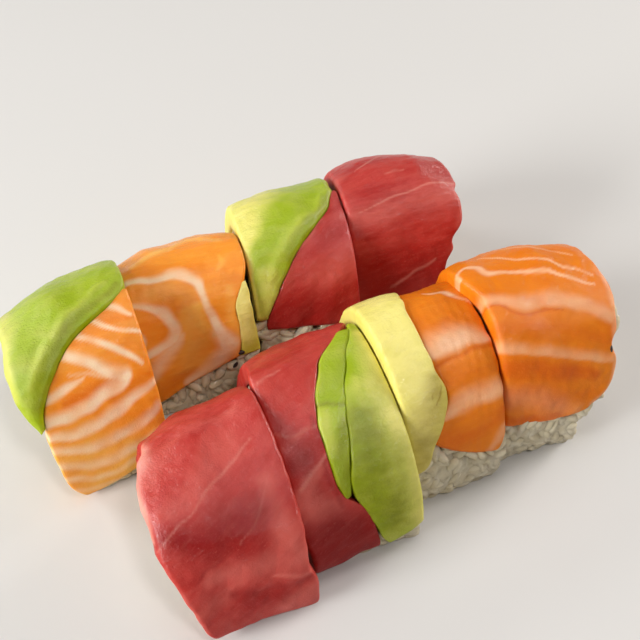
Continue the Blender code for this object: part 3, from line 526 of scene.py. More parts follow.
def outer_form(name, u, girth, lift):
    """Points of a slice in its own frame."""
    piece = SLICES[name]
    u, girth = np.asarray(u, dtype=float), np.asarray(girth, dtype=float)
    y, _ = arch(piece, girth, 0.0)
    past = np.maximum(u - end_at(name, 1, y) + END_ROUND, end_at(name, -1, y) + END_ROUND - u)
    past = np.maximum(past, 0.0)
    swell = SWELL_HEIGHT * np.sin(math.tau * (u / SWELL_LENGTH + girth + piece.x / 10))
    raised = lift + swell - END_DROP * (past / END_ROUND) ** 2 - sag(name, u, girth, y)
    y, z = arch(piece, girth, raised)
    return np.stack((np.broadcast_to(u, y.shape), y, z), axis=-1)


def to_world(name, points, least_height):
    """From a slice's own millimetres to metres in the frame, and off the table."""
    piece = SLICES[name]
    placed = np.array(points, dtype=float)
    placed[..., :2] = placed[..., :2] @ turned(piece.turn).T
    placed[..., 0] += piece.x - SERVING_CENTRE[0]
    placed[..., 1] += piece.y - SERVING_CENTRE[1]
    placed *= MM
    placed[..., 2] = np.maximum(placed[..., 2], least_height)
    return placed


# ---------------------------------------------------------------- helpers for shapes

def ripple(x, y, length, seed):
    """Smooth unevenness between about -1 and 1 whose bumps are about length apart."""
    draw = np.random.default_rng(seed)
    total = np.zeros(np.broadcast(x, y).shape)
    for _ in range(RIPPLE_WAVES):
        turn, phase = draw.uniform(0, math.tau, 2)
        pace = math.tau / (length * draw.uniform(*RIPPLE_LENGTHS))
        total += np.sin(pace * (x * math.cos(turn) + y * math.sin(turn)) + phase)
    return total / RIPPLE_TOP


def curve_through(points, steps=6):
    """A smooth curve through points, as closely set points."""
    points = np.array(points, dtype=float)
    if len(points) < 3:
        return points
    padded = np.vstack((2 * points[0] - points[1], points, 2 * points[-1] - points[-2]))
    curve = []
    for a, b, c, d in zip(padded, padded[1:], padded[2:], padded[3:]):
        for t in np.arange(steps) / steps:
            curve.append(0.5 * (2 * b + (c - a) * t + (2 * a - 5 * b + 4 * c - d) * t ** 2
                                + (3 * b - a - 3 * c + d) * t ** 3))
    return np.array([*curve, points[-1]])


def stroke(u, girth, soft, bleed, points):
    """How far each place belongs to a line of changing width, 0 to 1."""
    x, y = u, girth * GIRTH_MM
    line = curve_through([(point[0], point[1] * GIRTH_MM, point[2]) for point in points])
    nearest = np.full(x.shape, np.inf)
    half = np.ones(x.shape)
    above = np.zeros(x.shape)
    for a, b in zip(line, line[1:]):
        run, rise = b[0] - a[0], b[1] - a[1]
        along = ((x - a[0]) * run + (y - a[1]) * rise) / (run * run + rise * rise + 1e-9)
        along = np.clip(along, 0, 1)
        off_x, off_y = x - a[0] - run * along, y - a[1] - rise * along
        away = np.hypot(off_x, off_y)
        closer = away < nearest
        nearest = np.where(closer, away, nearest)
        half = np.where(closer, np.maximum(mix(a[2], b[2], along), 0.1) / 2, half)
        above = np.where(closer, np.clip(off_y / (away + 1e-6), 0, 1), above)
    half = half + bleed * above / 2
    fade = mix(soft, max(soft, min(1.0, soft + bleed)), above)
    return 1 - smooth((nearest / half - 1 + fade) / (2 * fade))


def walk_round(j0, j1, i0, i1):
    """Places (row, column) once round a block of a grid."""
    return ([(j0, i) for i in range(i0, i1)] + [(j, i1) for j in range(j0, j1)]
            + [(j1, i) for i in range(i1, i0, -1)] + [(j, i0) for j in range(j1, j0, -1)])


def grid_faces(rows, columns):
    """Faces of a grid whose corners are numbered row by row."""
    wide = columns + 1
    return [(j * wide + i, j * wide + i + 1, (j + 1) * wide + i + 1, (j + 1) * wide + i)
            for j in range(rows) for i in range(columns)]


def band_faces(upper, lower):
    """Faces between two closed loops of corners."""
    return [(upper[n - 1], upper[n], lower[n], lower[n - 1]) for n in [*range(1, len(upper)), 0]]


def new_piece(name, vertices, faces, materials, kinds=None):
    data = bpy.data.meshes.new(name)
    data.from_pydata(vertices.tolist(), [], faces)
    if kinds:
        data.polygons.foreach_set("material_index", kinds)
    for material in materials:
        data.materials.append(material)
    mesh = bmesh.new()
    mesh.from_mesh(data)
    bmesh.ops.recalc_face_normals(mesh, faces=mesh.faces)
    mesh.to_mesh(data)
    mesh.free()
    data.shade_smooth()
    data.update()
    item = bpy.data.objects.new(name, data)
    bpy.context.scene.collection.objects.link(item)
    return item


def keep_values(item, name, kind, field, values):
    layer = item.data.attributes.new(name, kind, "POINT")
    layer.data.foreach_set(field, np.asarray(values, dtype=np.float32).ravel())


# ---------------------------------------------------------------- toppings

def border_line(topping, girth, side):
    """Where a topping's left (-1) or right (1) border runs, with its corners rounded off."""
    y, _ = arch(SLICES[topping.slice], girth, 0.0)
    own_end = end_at(topping.slice, side, y)
    stations = [border[0] for border in topping.borders]
    values = [border[1 + (side > 0)] for border in topping.borders]
    inset = [0.0 if value is OUT else 1.0 for value in values]
    lap = AVOCADO_LAP if "avocado" in topping.kind else 0.0
    total = 0.0
    for shift in BORDER_BLUR:
        at = np.clip(girth + shift, stations[0], stations[-1])
        share = np.interp(at, stations, inset)
        fixed = np.interp(at, stations, [value or 0.0 for value in values])
        total = total + fixed + (1 - share) * own_end + share * side * lap
    return total / len(BORDER_BLUR)


def edge_spacing(length, step, radius):
    """Shares of a length, closer together where the edges are rounded."""
    near = [share * radius for share in EDGE_STEPS if share * radius < length / 2.2]
    inner = max(2, round((length - 2 * near[-1]) / step))
    middle = [mix(near[-1], length - near[-1], k / inner) for k in range(1, inner)]
    return np.array([*near, *middle, *(length - d for d in reversed(near))]) / length


def mark_values(name, u, girth):
    """Strength of the three channels of marks at each place, as lines that wander and fade."""
    seed = list(TOPPINGS).index(name) + MARK_SEED
    far, length = MARK_WANDER
    wander_u = u + far * ripple(u, girth * GIRTH_MM, length, seed)
    wander_g = girth + far / GIRTH_MM * ripple(u, girth * GIRTH_MM, length, seed + 1)
    middle, spread, length = FAT_STRENGTH
    strength = middle + spread * ripple(u, girth * GIRTH_MM, length, seed + 2)
    values = np.zeros((*u.shape, 3))
    for mark in MARKS[name]:
        drawn = mark.strength * stroke(wander_u, wander_g, mark.soft, mark.bleed, mark.points)
        values[..., mark.channel] = np.maximum(values[..., mark.channel], drawn)
    values[..., 0] *= np.clip(strength, 0, 1)
    return values


def low_edge(name, topping, s):
    return mix(*topping.low, s) - LOW_BULGE.get(name, 0.0) * 4 * s * (1 - s)


def topping_lift(name, topping, u, girth, left, right, s):
    """Lift of a topping's upper face, with its rounded edges, swells and marks."""
    thickness, radius, crown = OWN_BODY.get(name, BODY[topping.kind])
    seed = list(TOPPINGS).index(name) + 1
    y, _ = arch(SLICES[topping.slice], girth, 0.0)
    half = np.maximum((right - left) / 2, 0.05)
    radii = []
    for side, border in ((-1, left), (1, right)):
        at_cut = np.clip(1 - np.abs(border - end_at(topping.slice, side, y)), 0, 1)
        own = OWN_SIDE_RADIUS.get((name, side), radius)
        cut = OWN_CUT_RADIUS.get((name, side), CUT_RADIUS)
        radii.append(np.minimum(mix(own, cut, at_cut), half))
    share_left, share_right = (u - left) / radii[0], (right - u) / radii[1]
    room = np.where(share_left < share_right, *radii)
    at_low = (girth - low_edge(name, topping, s)) * GIRTH_MM
    at_high = (mix(*topping.high, s) - girth) * GIRTH_MM
    drop_side = 1 - np.clip(np.minimum(share_left, share_right), 0, 1)
    drop_end = 1 - np.clip(np.minimum(at_low, at_high) / radius, 0, 1)
    room = np.where(drop_end > drop_side, np.minimum(radius, half), room)
    outside = np.clip(np.hypot(drop_side, drop_end), 0, 1)
    lift = -room * (1 - np.sqrt(1 - outside ** 2))
    lift += crown * np.sqrt(np.clip(4 * s * (1 - s), 0, 1)) - crown * CROWN_SUNK
    for swell, length, own in FACE_SWELLS:
        lift += swell * ripple(u, girth * GIRTH_MM, length, seed + own)
    for mark in MARKS[name]:
        if mark.relief:
            lift += mark.relief * stroke(u, girth, 1.0, 0, mark.points)
    return thickness - TOPPING_BED + SLAB_RAISE + lift


def rough_border(topping, girth, side, seed):
    """A border as it is, wandering a little, and least where the knife went through."""
    rough = ROUGH_CUT if topping.borders[1][1 + (side > 0)] is OUT else ROUGH_BORDER
    wander = rough * ripple(girth * GIRTH_MM, 9.0 * (side > 0), ROUGH_LENGTH, seed + 40 * (side > 0))
    return border_line(topping, girth, side) + wander


def slab(name, topping):
    """Vertices, faces, u, girth and marks of a topping: fine above, coarse below."""
    radius = OWN_BODY.get(name, BODY[topping.kind])[1]
    seed = list(TOPPINGS).index(name) + 1
    middle = np.linspace(max(topping.low), min(topping.high), 60)
    width = float(np.max(border_line(topping, middle, 1) - border_line(topping, middle, -1)))
    length = (max(topping.high) - min(topping.low)) * GIRTH_MM
    s, t = np.meshgrid(edge_spacing(width, SLAB_STEP[0], radius),
                       edge_spacing(length, SLAB_STEP[1], radius))
    girth = mix(low_edge(name, topping, s), mix(*topping.high, s), t)
    left, right = (rough_border(topping, girth, side, seed) for side in (-1, 1))
    u = mix(left, right, s)
    top_lift = topping_lift(name, topping, u, girth, left, right, s)
    marks = mark_values(name, u, girth)
    bottom = -TOPPING_BED + UNDER_GAP
    rows, columns = s.shape[0] - 1, s.shape[1] - 1
    ring = walk_round(0, rows, 0, columns)
    rim = tuple(np.array(values) for values in zip(*ring))
    parts = [(u.ravel(), girth.ravel(), top_lift.ravel(), marks.reshape(-1, 3))]
    for share in WALL_SHARES:
        parts.append((u[rim], girth[rim], mix(top_lift[rim], bottom, share), marks[rim]))

    # The underside's few corners: those on the lowest ring of the wall, then those inside it
    coarse_j = sorted({*range(0, rows, UNDER_ROWS), rows})
    coarse_i = sorted({*range(0, columns, max(3, columns // UNDER_COLUMNS)), columns})
    inner = [(j, i) for j in coarse_j[1:-1] for i in coarse_i[1:-1]]
    under = tuple(np.array(values) for values in zip(*inner))
    parts.append((u[under], girth[under], np.full(len(inner), bottom), marks[under]))
    size, count = s.size, len(ring)
    number = {place: size + (len(WALL_SHARES) - 1) * count + k for k, place in enumerate(ring + inner)}

    faces = grid_faces(rows, columns)
    loops = [[j * (columns + 1) + i for j, i in ring]]
    loops += [[size + k * count + n for n in range(count)] for k in range(len(WALL_SHARES))]
    for upper, lower in zip(loops, loops[1:]):
        faces += band_faces(upper, lower)
    for j0, j1 in zip(coarse_j, coarse_j[1:]):
        for i0, i1 in zip(coarse_i, coarse_i[1:]):
            faces.append([number[place] for place in walk_round(j0, j1, i0, i1) if place in number])
    u_all, girth_all, lifts, marks_all = (np.concatenate(values) for values in zip(*parts))
    points = outer_form(topping.slice, u_all, girth_all, lifts)
    return to_world(topping.slice, points, TOPPING_FLOOR), faces, u_all, girth_all, marks_all


# ---------------------------------------------------------------- materials

def linear(red, green, blue):
    """From the usual 0 to 255 to linear light."""
    values = [channel / 255 for channel in (red, green, blue)]
    return (*(v / 12.92 if v <= 0.04045 else ((v + 0.055) / 1.055) ** 2.4 for v in values), 1.0)


class Net:
    """A material's nodes."""

    def __init__(self, name):
        self.material = bpy.data.materials.new(name)
        self.material.use_nodes = True
        self.nodes = self.material.node_tree.nodes
        self.links = self.material.node_tree.links
        self.shader = self.nodes["Principled BSDF"]

    def add(self, kind, **settings):
        node = self.nodes.new(kind)
        for key, value in settings.items():
            setattr(node, key, value)
        return node

    def put(self, value, socket):
        if isinstance(value, bpy.types.NodeSocket):
            self.links.new(value, socket)
        else:
            socket.default_value = value

    def put_all(self, values, sockets):
        for value, socket in zip(values, sockets):
            self.put(value, socket)

    def shade(self, **values):
        for name, value in values.items():
            self.put(value, self.shader.inputs[name.replace("_", " ")])
        return self.material

    def place(self):
        return self.add("ShaderNodeTexCoord").outputs["Object"]

    def flesh(self):
        """The channels of a topping's marks, and the place in its flesh."""
        apart = self.add("ShaderNodeSeparateColor")
        self.put(self.add("ShaderNodeAttribute", attribute_name="marks").outputs["Color"], apart.inputs[0])
        place = self.add("ShaderNodeAttribute", attribute_name="place").outputs["Vector"]
        return *apart.outputs, place

    def noise(self, vector, scale, detail=3.0, roughness=0.55, stretch=None):
        if stretch:
            mapping = self.add("ShaderNodeMapping")
            self.put(stretch, mapping.inputs["Scale"])
            self.put(vector, mapping.inputs["Vector"])
            vector = mapping.outputs["Vector"]
        node = self.add("ShaderNodeTexNoise")
        self.put_all((vector, scale, detail, roughness),
                     (node.inputs[name] for name in ("Vector", "Scale", "Detail", "Roughness")))
        return node.outputs["Fac"]

    def math(self, operation, first, second, clamp=False):
        node = self.add("ShaderNodeMath", operation=operation, use_clamp=clamp)
        self.put_all((first, second), node.inputs)
        return node.outputs[0]

    def mix(self, share, first, second):
        node = self.add("ShaderNodeMix", data_type="RGBA")
        self.put_all((share, first, second), (node.inputs[k] for k in (0, 6, 7)))
        return node.outputs[2]

    def spread(self, value, low, high, to_low=0.0, to_high=1.0):
        node = self.add("ShaderNodeMapRange", clamp=True)
        self.put_all((value, low, high, to_low, to_high), node.inputs)
        return node.outputs[0]

    def bump(self, height, distance, normal=None):
        node = self.add("ShaderNodeBump")
        self.put(1.0, node.inputs["Strength"])
        self.put(distance, node.inputs["Distance"])
        self.put(height, node.inputs["Height"])
        if normal is not None:
            self.put(normal, node.inputs["Normal"])
        return node.outputs["Normal"]

    def moist(self, colour, fine, normal, wet_normal, glow, depth, coat):
        """Fill in the shader: moist flesh or rice, wetter on its upper faces."""
        facing = self.add("ShaderNodeSeparateXYZ")
        self.put(self.add("ShaderNodeTexCoord").outputs["Normal"], facing.inputs[0])
        return self.shade(
            Base_Color=colour, Roughness=self.spread(fine, 0.3, 0.7, 0.4, 0.6), Normal=normal,
            Specular_IOR_Level=0.12, Subsurface_Weight=glow, Subsurface_Radius=depth,
            Subsurface_Scale=0.002, Coat_Weight=self.spread(facing.outputs["Z"], 0.3, 0.8, 0.04, coat),
            Coat_Roughness=0.09, Coat_IOR=1.55, Coat_Normal=wet_normal)


def fish_material(name, colours, mottle, coat):
    net = Net(name)
    flesh, deep, pale, fat = (linear(*colour) for colour in colours)
    fat_marks, deep_marks, pale_marks, place = net.flesh()
    broad = net.noise(place, 110.0, 3.0, 0.6, stretch=(0.6, 1.2, 1.0))
    soft = net.noise(place, 300.0, 4.0)
    fine = net.noise(place, 2600.0, 3.0, 0.65)
    fibres = net.noise(place, 520.0, 4.0, 0.55, stretch=(0.3, 1.3, 1.0))
    grain_and_glint_specks = net.noise(place, 1700.0, 2.0, 0.6, stretch=(0.7, 1.2, 1.0))
    dark = net.math("MULTIPLY", deep_marks, net.spread(soft, 0.2, 0.6, 0.8, 1.0))
    dark = net.math("MAXIMUM", dark, net.spread(broad, 0.5, 0.3, 0.0, mottle))
    lines = net.math("MULTIPLY", fat_marks, net.spread(fine, 0.2, 0.55, 0.85, 1.0))
    lines = net.math("MULTIPLY", lines, net.spread(fibres, 0.2, 0.5, 0.8, 1.0))
    colour = flesh
    for share, layer in (
            (net.math("MULTIPLY", net.spread(broad, 0.35, 0.7), mottle), pale),
            (net.math("MULTIPLY", pale_marks, net.spread(soft, 0.25, 0.7, 0.65, 1.0)), pale),
            (dark, deep),
            (net.spread(fibres, 0.5, 0.8, 0.0, 0.22), pale),
            (net.spread(fibres, 0.46, 0.2, 0.0, 0.18), deep),
            (net.spread(fine, 0.55, 0.8, 0.0, 0.2), pale),
            # pale flecks: partly the flesh's grain, partly painted glints
            (net.spread(grain_and_glint_specks, 0.6, 0.76, 0.0, 0.3), pale),
            (lines, fat)):
        colour = net.mix(share, colour, layer)
    bumps = net.bump(soft, 0.00022, net.bump(fibres, 0.0001, net.bump(fine, 0.00008)))
    wet = net.bump(grain_and_glint_specks, 0.00026, bumps)
    return net.moist(colour, fine, bumps, wet, 0.25, (1.0, 0.35, 0.2), coat)


def avocado_material(name, colours):
    net = Net(name)
    flesh, deep, pale = (linear(*colour) for colour in colours)
    _, deep_marks, pale_marks, place = net.flesh()
    soft = net.noise(place, 230.0, 3.0)
    smear = net.noise(place, 420.0, 4.0, 0.6, stretch=(0.5, 1.0, 1.0))
    fine = net.noise(place, 1900.0, 3.0, 0.6)
    light = net.math("MULTIPLY", pale_marks, net.spread(soft, 0.3, 0.7, 0.8, 1.15), clamp=True)
    colour = flesh
    for share, layer in (
            (net.spread(soft, 0.4, 0.75, 0.0, 0.25), pale), (light, pale),
            (net.spread(smear, 0.5, 0.85, 0.0, 0.14), deep),
            (net.math("MULTIPLY", deep_marks, net.spread(smear, 0.3, 0.6, 0.7, 1.0)), deep)):
        colour = net.mix(share, colour, layer)
    bumps = net.bump(soft, 0.0003, net.bump(smear, 0.0002, net.bump(fine, 0.0001)))
    wet = net.bump(fine, 0.00024, bumps)
    return net.moist(colour, fine, bumps, wet, 0.25, (0.8, 0.8, 0.25), 0.8)


def rice_material():
    net = Net("cooked_rice")
    place = net.place()
    soft = net.noise(place, 320.0, 3.0)
    fine = net.noise(place, 2400.0, 3.0, 0.6)
    colour = net.mix(net.spread(soft, 0.3, 0.7), linear(198, 183, 150), linear(219, 206, 180))
    colour = net.mix(net.spread(fine, 0.5, 0.8, 0.0, 0.25), colour, linear(186, 169, 134))
    bumps = net.bump(soft, 0.0002, net.bump(fine, 0.00006))
    return net.moist(colour, fine, bumps, bumps, 0.3, (1.0, 0.9, 0.75), 0.25)


def dark_material(name, colour, light, scale, roughness, relief):
    net = Net(name)
    place = net.place()
    soft = net.noise(place, scale, 4.0)
    fine = net.noise(place, scale * 6, 3.0, 0.6)
    return net.shade(
        Base_Color=net.mix(net.spread(soft, 0.4, 0.7), linear(*colour), linear(*light)),
        Roughness=net.spread(fine, 0.3, 0.7, roughness - 0.1, roughness + 0.1),
        Normal=net.bump(soft, relief, net.bump(fine, relief / 3)))


FISH = {  # flesh, deep, pale and fat, how mottled it is and how wet
    "tuna": (((176, 41, 34), (138, 8, 5), (206, 100, 88), (226, 156, 138)), 0.35, 0.7),
    "salmon": (((244, 142, 26), (220, 100, 6), (250, 186, 84), (253, 224, 188)), 0.25, 0.8),
    # painted shade: a darker copy of the salmon for the two front slices, standing in for the lesser light
    # on them
    "salmon_shaded": (((224, 118, 10), (204, 84, 2), (232, 142, 36), (246, 208, 172)), 0.25, 0.45),
}
AVOCADO = {  # flesh, deep and pale
    "avocado_green": ((150, 170, 4), (116, 118, 0), (222, 212, 110)),
    "avocado_pale": ((196, 184, 50), (140, 112, 22), (236, 222, 128)),
}
FLESH = {kind: fish_material(f"{kind}_flesh", *looks) for kind, looks in FISH.items()}
FLESH |= {kind: avocado_material(f"{kind}_flesh", colours) for kind, colours in AVOCADO.items()}
OWN_FLESH = {"salmon_front_3": "salmon_shaded", "salmon_front_4": "salmon_shaded"}
RICE = rice_material()
NORI = dark_material("toasted_nori", (18, 26, 18), (38, 46, 30), 500.0, 0.55, 0.0002)
SEED = dark_material("black_sesame", (26, 20, 18), (58, 46, 38), 900.0, 0.4, 0.0001)

for number, (label, topping) in enumerate(TOPPINGS.items()):
    points, faces, u_all, girth_all, marks = slab(label, topping)
    item = new_piece(f"{label}_slab", points, faces, [FLESH[OWN_FLESH.get(label, topping.kind)]])
    keep_values(item, "marks", "FLOAT_COLOR", "color", np.column_stack((marks, np.ones(len(marks)))))
    place = np.column_stack((u_all, girth_all * GIRTH_MM)) @ turned(FIBRE_TURN.get(label, 0))
    place = MM * np.column_stack((place + FAR_OFF * number, girth_all * 0))
    keep_values(item, "place", "FLOAT_VECTOR", "vector", place)
    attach(item, "root")
    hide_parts(label)


# ---------------------------------------------------------------- nori

def nori_line(name, steps):
    """Points of the wound sheet in the slice's own y, z plane."""
    piece = SLICES[name]
    height = piece.height - TOPPING_BED
    half = (piece.front + piece.back) / 2 - TOPPING_BED
    swept = np.linspace(0, NORI_SWEEP, steps)
    angle = np.radians(NORI_START + swept)
    shrink = 1 - NORI_PITCH * swept / 360
    swell, length, seed = NORI_SWELL
    shrink = shrink + swell * ripple(swept, 0.0, length, list(SLICES).index(name) + seed)
    return np.column_stack((
        (piece.back - piece.front) / 2 - shrink * NORI_WIDTH_SHARE * half * np.cos(angle),
        NORI_CENTRE_SHARE * height + shrink * NORI_RISE_SHARE * height * np.sin(angle)))


def nori_piece(name):
    steps, columns = NORI_GRID
    line = nori_line(name, steps)
    run = np.gradient(line, axis=0)
    run /= np.linalg.norm(run, axis=1)[:, None]
    normal = np.column_stack((-run[:, 1], run[:, 0]))
    vertices = []
    for face_side in (-1, 1):
        for point, out in zip(line, normal):
            place = point + face_side * NORI_THICKNESS / 2 * out
            low, high = (rice_end(name, side, point[0]) + side * NORI_PROUD[(name, side) in END_SETBACK]
                         for side in (-1, 1))
            vertices += [(mix(low, high, c / columns), *place) for c in range(columns + 1)]
    half = len(vertices) // 2
    faces = []
    for a, b, c, d in grid_faces(steps - 1, columns):
        faces += [(a, b, c, d), (half + a, half + d, half + c, half + b)]
    loop = [j * (columns + 1) + i for j, i in walk_round(0, steps - 1, 0, columns)]
    faces += band_faces(loop, [half + corner for corner in loop])
    return new_piece(f"nori_{name}_sheet", to_world(name, vertices, 0.0), faces, [NORI])


# ---------------------------------------------------------------- rice

def skirt_at(name, u, girth):
    """How far past the toppings' edge in front or behind a place lies, in girth."""
    piece = SLICES[name]
    front = mix(*piece.skirt, u / piece.length + 0.5)
    return np.where(girth < 0, front - girth, girth - BACK_SKIRT)


def rice_core(name):
    """The rice between its grains, closed with rings at the ends."""
    piece = SLICES[name]
    rows, columns = CORE_GRID
    share, girth = np.meshgrid(np.linspace(0, 1, columns + 1), np.linspace(-1, 1, rows + 1))
    y, z = arch(piece, girth, -2.0)
    u = mix(foot_end(name, -1, y, z) + CORE_INSET, foot_end(name, 1, y, z) - CORE_INSET, share)
    bare = smooth(skirt_at(name, (share - 0.5) * piece.length, girth) / BED_EDGE + 0.25)
    lift = mix(-TOPPING_BED, CORE_LIFT, bare)
    swell, length, seed = CORE_SWELL
    lift = lift + swell * ripple(u, girth * GIRTH_MM, length, list(SLICES).index(name) + seed)
    points = outer_form(name, u, girth, lift)
    points[..., 2] = np.maximum(points[..., 2], CORE_FLOOR)
    points = points.reshape(-1, 3)
    wide = columns + 1
    faces = grid_faces(rows, columns)
    faces.append([*range(wide), *range(rows * wide + columns, rows * wide - 1, -1)])
    centre = np.array((0.0, 0.0, 0.35 * piece.height))
    for side, column in ((-1, 0), (1, columns)):
        outer = [j * wide + column for j in range(rows + 1)]
        rim = points[outer]
        for size in CORE_RINGS:
            ring = centre + (rim - centre) * size
            ring[:, 0] = foot_end(name, side, ring[:, 1], ring[:, 2]) - side * CORE_INSET
            inner = [len(points) + j for j in range(rows + 1)]
            points = np.vstack((points, ring))
            faces += band_faces(outer, inner)
            outer = inner
        faces.append(outer)
    return points, faces


def grain_shape(rings=6, segments=8):
    """A plump grain of rice with half lengths of 1: rounded, a little bent, blunter at one end."""
    vertices = [(-1.0, 0.0, 0.0)]
    for r in range(1, rings):
        along = -math.cos(math.pi * r / rings)
        wide = (1 - along ** 2) ** 0.42 * (1 + 0.06 * along)
        for s in range(segments):
            turn = math.tau * s / segments
            vertices.append((along, wide * math.cos(turn) + 0.18 * along ** 2, wide * math.sin(turn)))
    vertices.append((1.0, 0.18, 0.0))
    faces = [(0, 1 + (s + 1) % segments, 1 + s) for s in range(segments)]
    for r in range(rings - 2):
        for s in range(segments):
            a, b = 1 + r * segments + s, 1 + r * segments + (s + 1) % segments
            faces.append((a, b, b + segments, a + segments))
    last = len(vertices) - 1
    base = 1 + (rings - 2) * segments
    faces += [(base + s, base + (s + 1) % segments, last) for s in range(segments)]
    return np.array(vertices), faces


GRAIN_VERTICES, GRAIN_FACES = grain_shape()


def own_size(draw, least, most):
    return np.array(GRAIN_SIZE) * draw.uniform(least, most, 3)


def place_grain(draw, spot, normal, along, size, tilt):
    """Vertices of one grain at a spot, lying across the normal."""
    normal = normal / np.linalg.norm(normal)
    side = np.cross(normal, along)
    side /= np.linalg.norm(side)
    along = np.cross(side, normal)
    lean = draw.normal(0, tilt)
    ahead = along * math.cos(lean) + normal * math.sin(lean)
    up = np.cross(ahead, side)
    roll = draw.uniform(0, math.tau)
    side, up = side * math.cos(roll) + up * math.sin(roll), up * math.cos(roll) - side * math.sin(roll)
    shaped = GRAIN_VERTICES * np.asarray(size) * draw.uniform(0.88, 1.1)
    return spot + shaped[:, :1] * ahead + shaped[:, 1:2] * side + shaped[:, 2:] * up


def on_surface(name, u, girth, lift):
    """A spot at a lift over a slice's form, and the normal there."""
    here = outer_form(name, u, girth, lift)
    over = outer_form(name, u, girth, lift + 0.5)
    step = outer_form(name, u, girth + 0.004, lift) - outer_form(name, u, girth - 0.004, lift)
    normal = np.cross(step, (1.0, 0.0, 0.0))
    if np.dot(normal, over - here) < 0:
        normal = -normal
    return here, normal / np.linalg.norm(normal)


def across_surface(normal, turn):
    """A direction on a surface, turned from the roll's length."""
    return np.array((math.cos(turn), 0.0, 0.0)) + math.sin(turn) * np.cross(normal, (1.0, 0.0, 0.0))


def foot_grains(name, draw):
    """Grains along both feet, in rows round the slice."""
    piece = SLICES[name]
    grains = []
    girths = np.linspace(-1, 1, 2001)
    y, z = arch(piece, girths, -1.0)
    reached = np.concatenate(((0.0,), np.cumsum(np.hypot(np.diff(y), np.diff(z)))))
    for distance in np.arange(0.6, reached[-1], GRAIN_STEP[1]):
        low = float(np.interp(distance, reached, girths))
        if abs(low) < LEAST_FOOT_GIRTH:
            continue
        foot_y, foot_z = arch(piece, low, -1.0)
        left, right = (float(foot_end(name, side, foot_y, foot_z)) for side in (-1, 1))
        steps = max(1, round((right - left) / GRAIN_STEP[0]))
        for k in range(steps):
            u = mix(left, right, (k + draw.uniform(0.1, 0.9)) / steps)
            u = min(max(u, left + GRAIN_INSET), right - GRAIN_INSET)
            girth = float(np.interp(distance + draw.uniform(-1, 1), reached, girths))
            girth = min(max(girth, -0.995), 0.995)
            bare = float(skirt_at(name, u, np.array(girth)))
            if bare < UNDER_SKIRT:
                continue
            lift = GRAIN_LIFT + draw.uniform(-0.2, 0.2) - (SKIRT_SINK if bare < 0.02 else 0.0)
            spot, normal = on_surface(name, u, girth, lift)
            along = across_surface(normal, draw.uniform(0, math.pi))
            grains.append(place_grain(draw, spot, normal, along, own_size(draw, *FOOT_SIZES), FOOT_TILT))
    return grains


def end_grains(name, side, draw):
    """Grains on an end, in rows round the nori, clear of it, and lower beside another slice."""
    piece = SLICES[name]
    line = nori_line(name, NORI_FINE)
    grains = []
    height = piece.height - TOPPING_BED
    normal = np.array((float(side), 0.0, 0.0))
    for row in range(int(height / END_STEP) + 1):
        for column in range(int((piece.front + piece.back) / END_STEP) + 2):
            y = -piece.front + (column + draw.uniform(0.1, 0.9)) * END_STEP
            z = (row + draw.uniform(0.15, 0.85)) * END_STEP + END_RISE
            reach = tucked(piece, piece.front if y < 0 else piece.back, z)
            up = (z / piece.height) ** (piece.power / 2)
            across = (abs(y) / reach) ** (piece.power / 2)
            girth = np.array(math.atan2(up, math.copysign(across, -y)) * 2 / math.pi - 1)
            covered = piece.skirt[side > 0] - SKIRT_HIDES[0] < girth < BACK_SKIRT + SKIRT_HIDES[1]
            reach -= COVERED_INSET if covered else BARE_INSET
            rise = height - CROWN_INSET - float(sag(name, side * piece.length / 2, girth, y))
            if (abs(y) / reach) ** piece.power + (z / rise) ** piece.power > 1:
                continue
            away = np.linalg.norm(line - (y, z), axis=1)
            nearest = int(np.argmin(away))
            depth = draw.uniform(*END_DEPTH)
            if (name, side) not in END_SETBACK:
                depth += CUT_DEPTH[z > height / 2]
            spot = np.array((float(foot_end(name, side, y, z)) - side * depth, y, z))
            turn = draw.uniform(0, math.pi)
            if away[nearest] < NORI_NEAR:
                run = line[min(nearest + 1, len(line) - 1)] - line[max(nearest - 1, 0)]
                turn = math.atan2(run[1], run[0]) + draw.normal(0, 0.15)
            if away[nearest] < NORI_CLEAR - 0.1:
                out = (spot[1:] - line[nearest]) / max(away[nearest], 1e-6)
                spot[1:] = line[nearest] + out * NORI_CLEAR
            along = np.array((0.0, math.cos(turn), math.sin(turn)))
            grains.append(place_grain(draw, spot, normal, along, own_size(draw, *END_SIZES), END_TILT))
    return grains


def rice_piece(name):
    """The core with its grains on both feet and on the ends, and with sesame."""
    points, faces = rice_core(name)
    draw = np.random.default_rng(GRAIN_SEED + list(SLICES).index(name))
    grains = foot_grains(name, draw)
    for place, *spot in BULGE:
        if place == name:
            spot, normal = on_surface(name, *spot)
            size = own_size(draw, *FOOT_SIZES)
            grains.append(place_grain(draw, spot, normal, np.array(BULGE_ALONG), size, BULGE_TILT))
    for side in (-1, 1):
        grains += end_grains(name, side, draw)
    draw = np.random.default_rng(SESAME_SEED + list(SLICES).index(name))
    seeds = []
    for place, u, girth, degrees in SESAME:
        if place == name:
            spot, normal = on_surface(name, u, girth, SEED_LIFT)
            along = across_surface(normal, math.radians(degrees))
            seeds.append(place_grain(draw, spot, normal, along, SEED_SIZE, SEED_TILT))
    kinds = [0] * (len(faces) + len(grains) * len(GRAIN_FACES)) + [1] * (len(seeds) * len(GRAIN_FACES))
    for k in range(len(grains) + len(seeds)):
        first = len(points) + k * len(GRAIN_VERTICES)
        faces += [tuple(first + corner for corner in face) for face in GRAIN_FACES]
    placed = to_world(name, np.concatenate((points, *grains, *seeds)), RICE_FLOOR)
    return new_piece(f"rice_{name}_grains", placed, faces, [RICE, SEED], kinds)


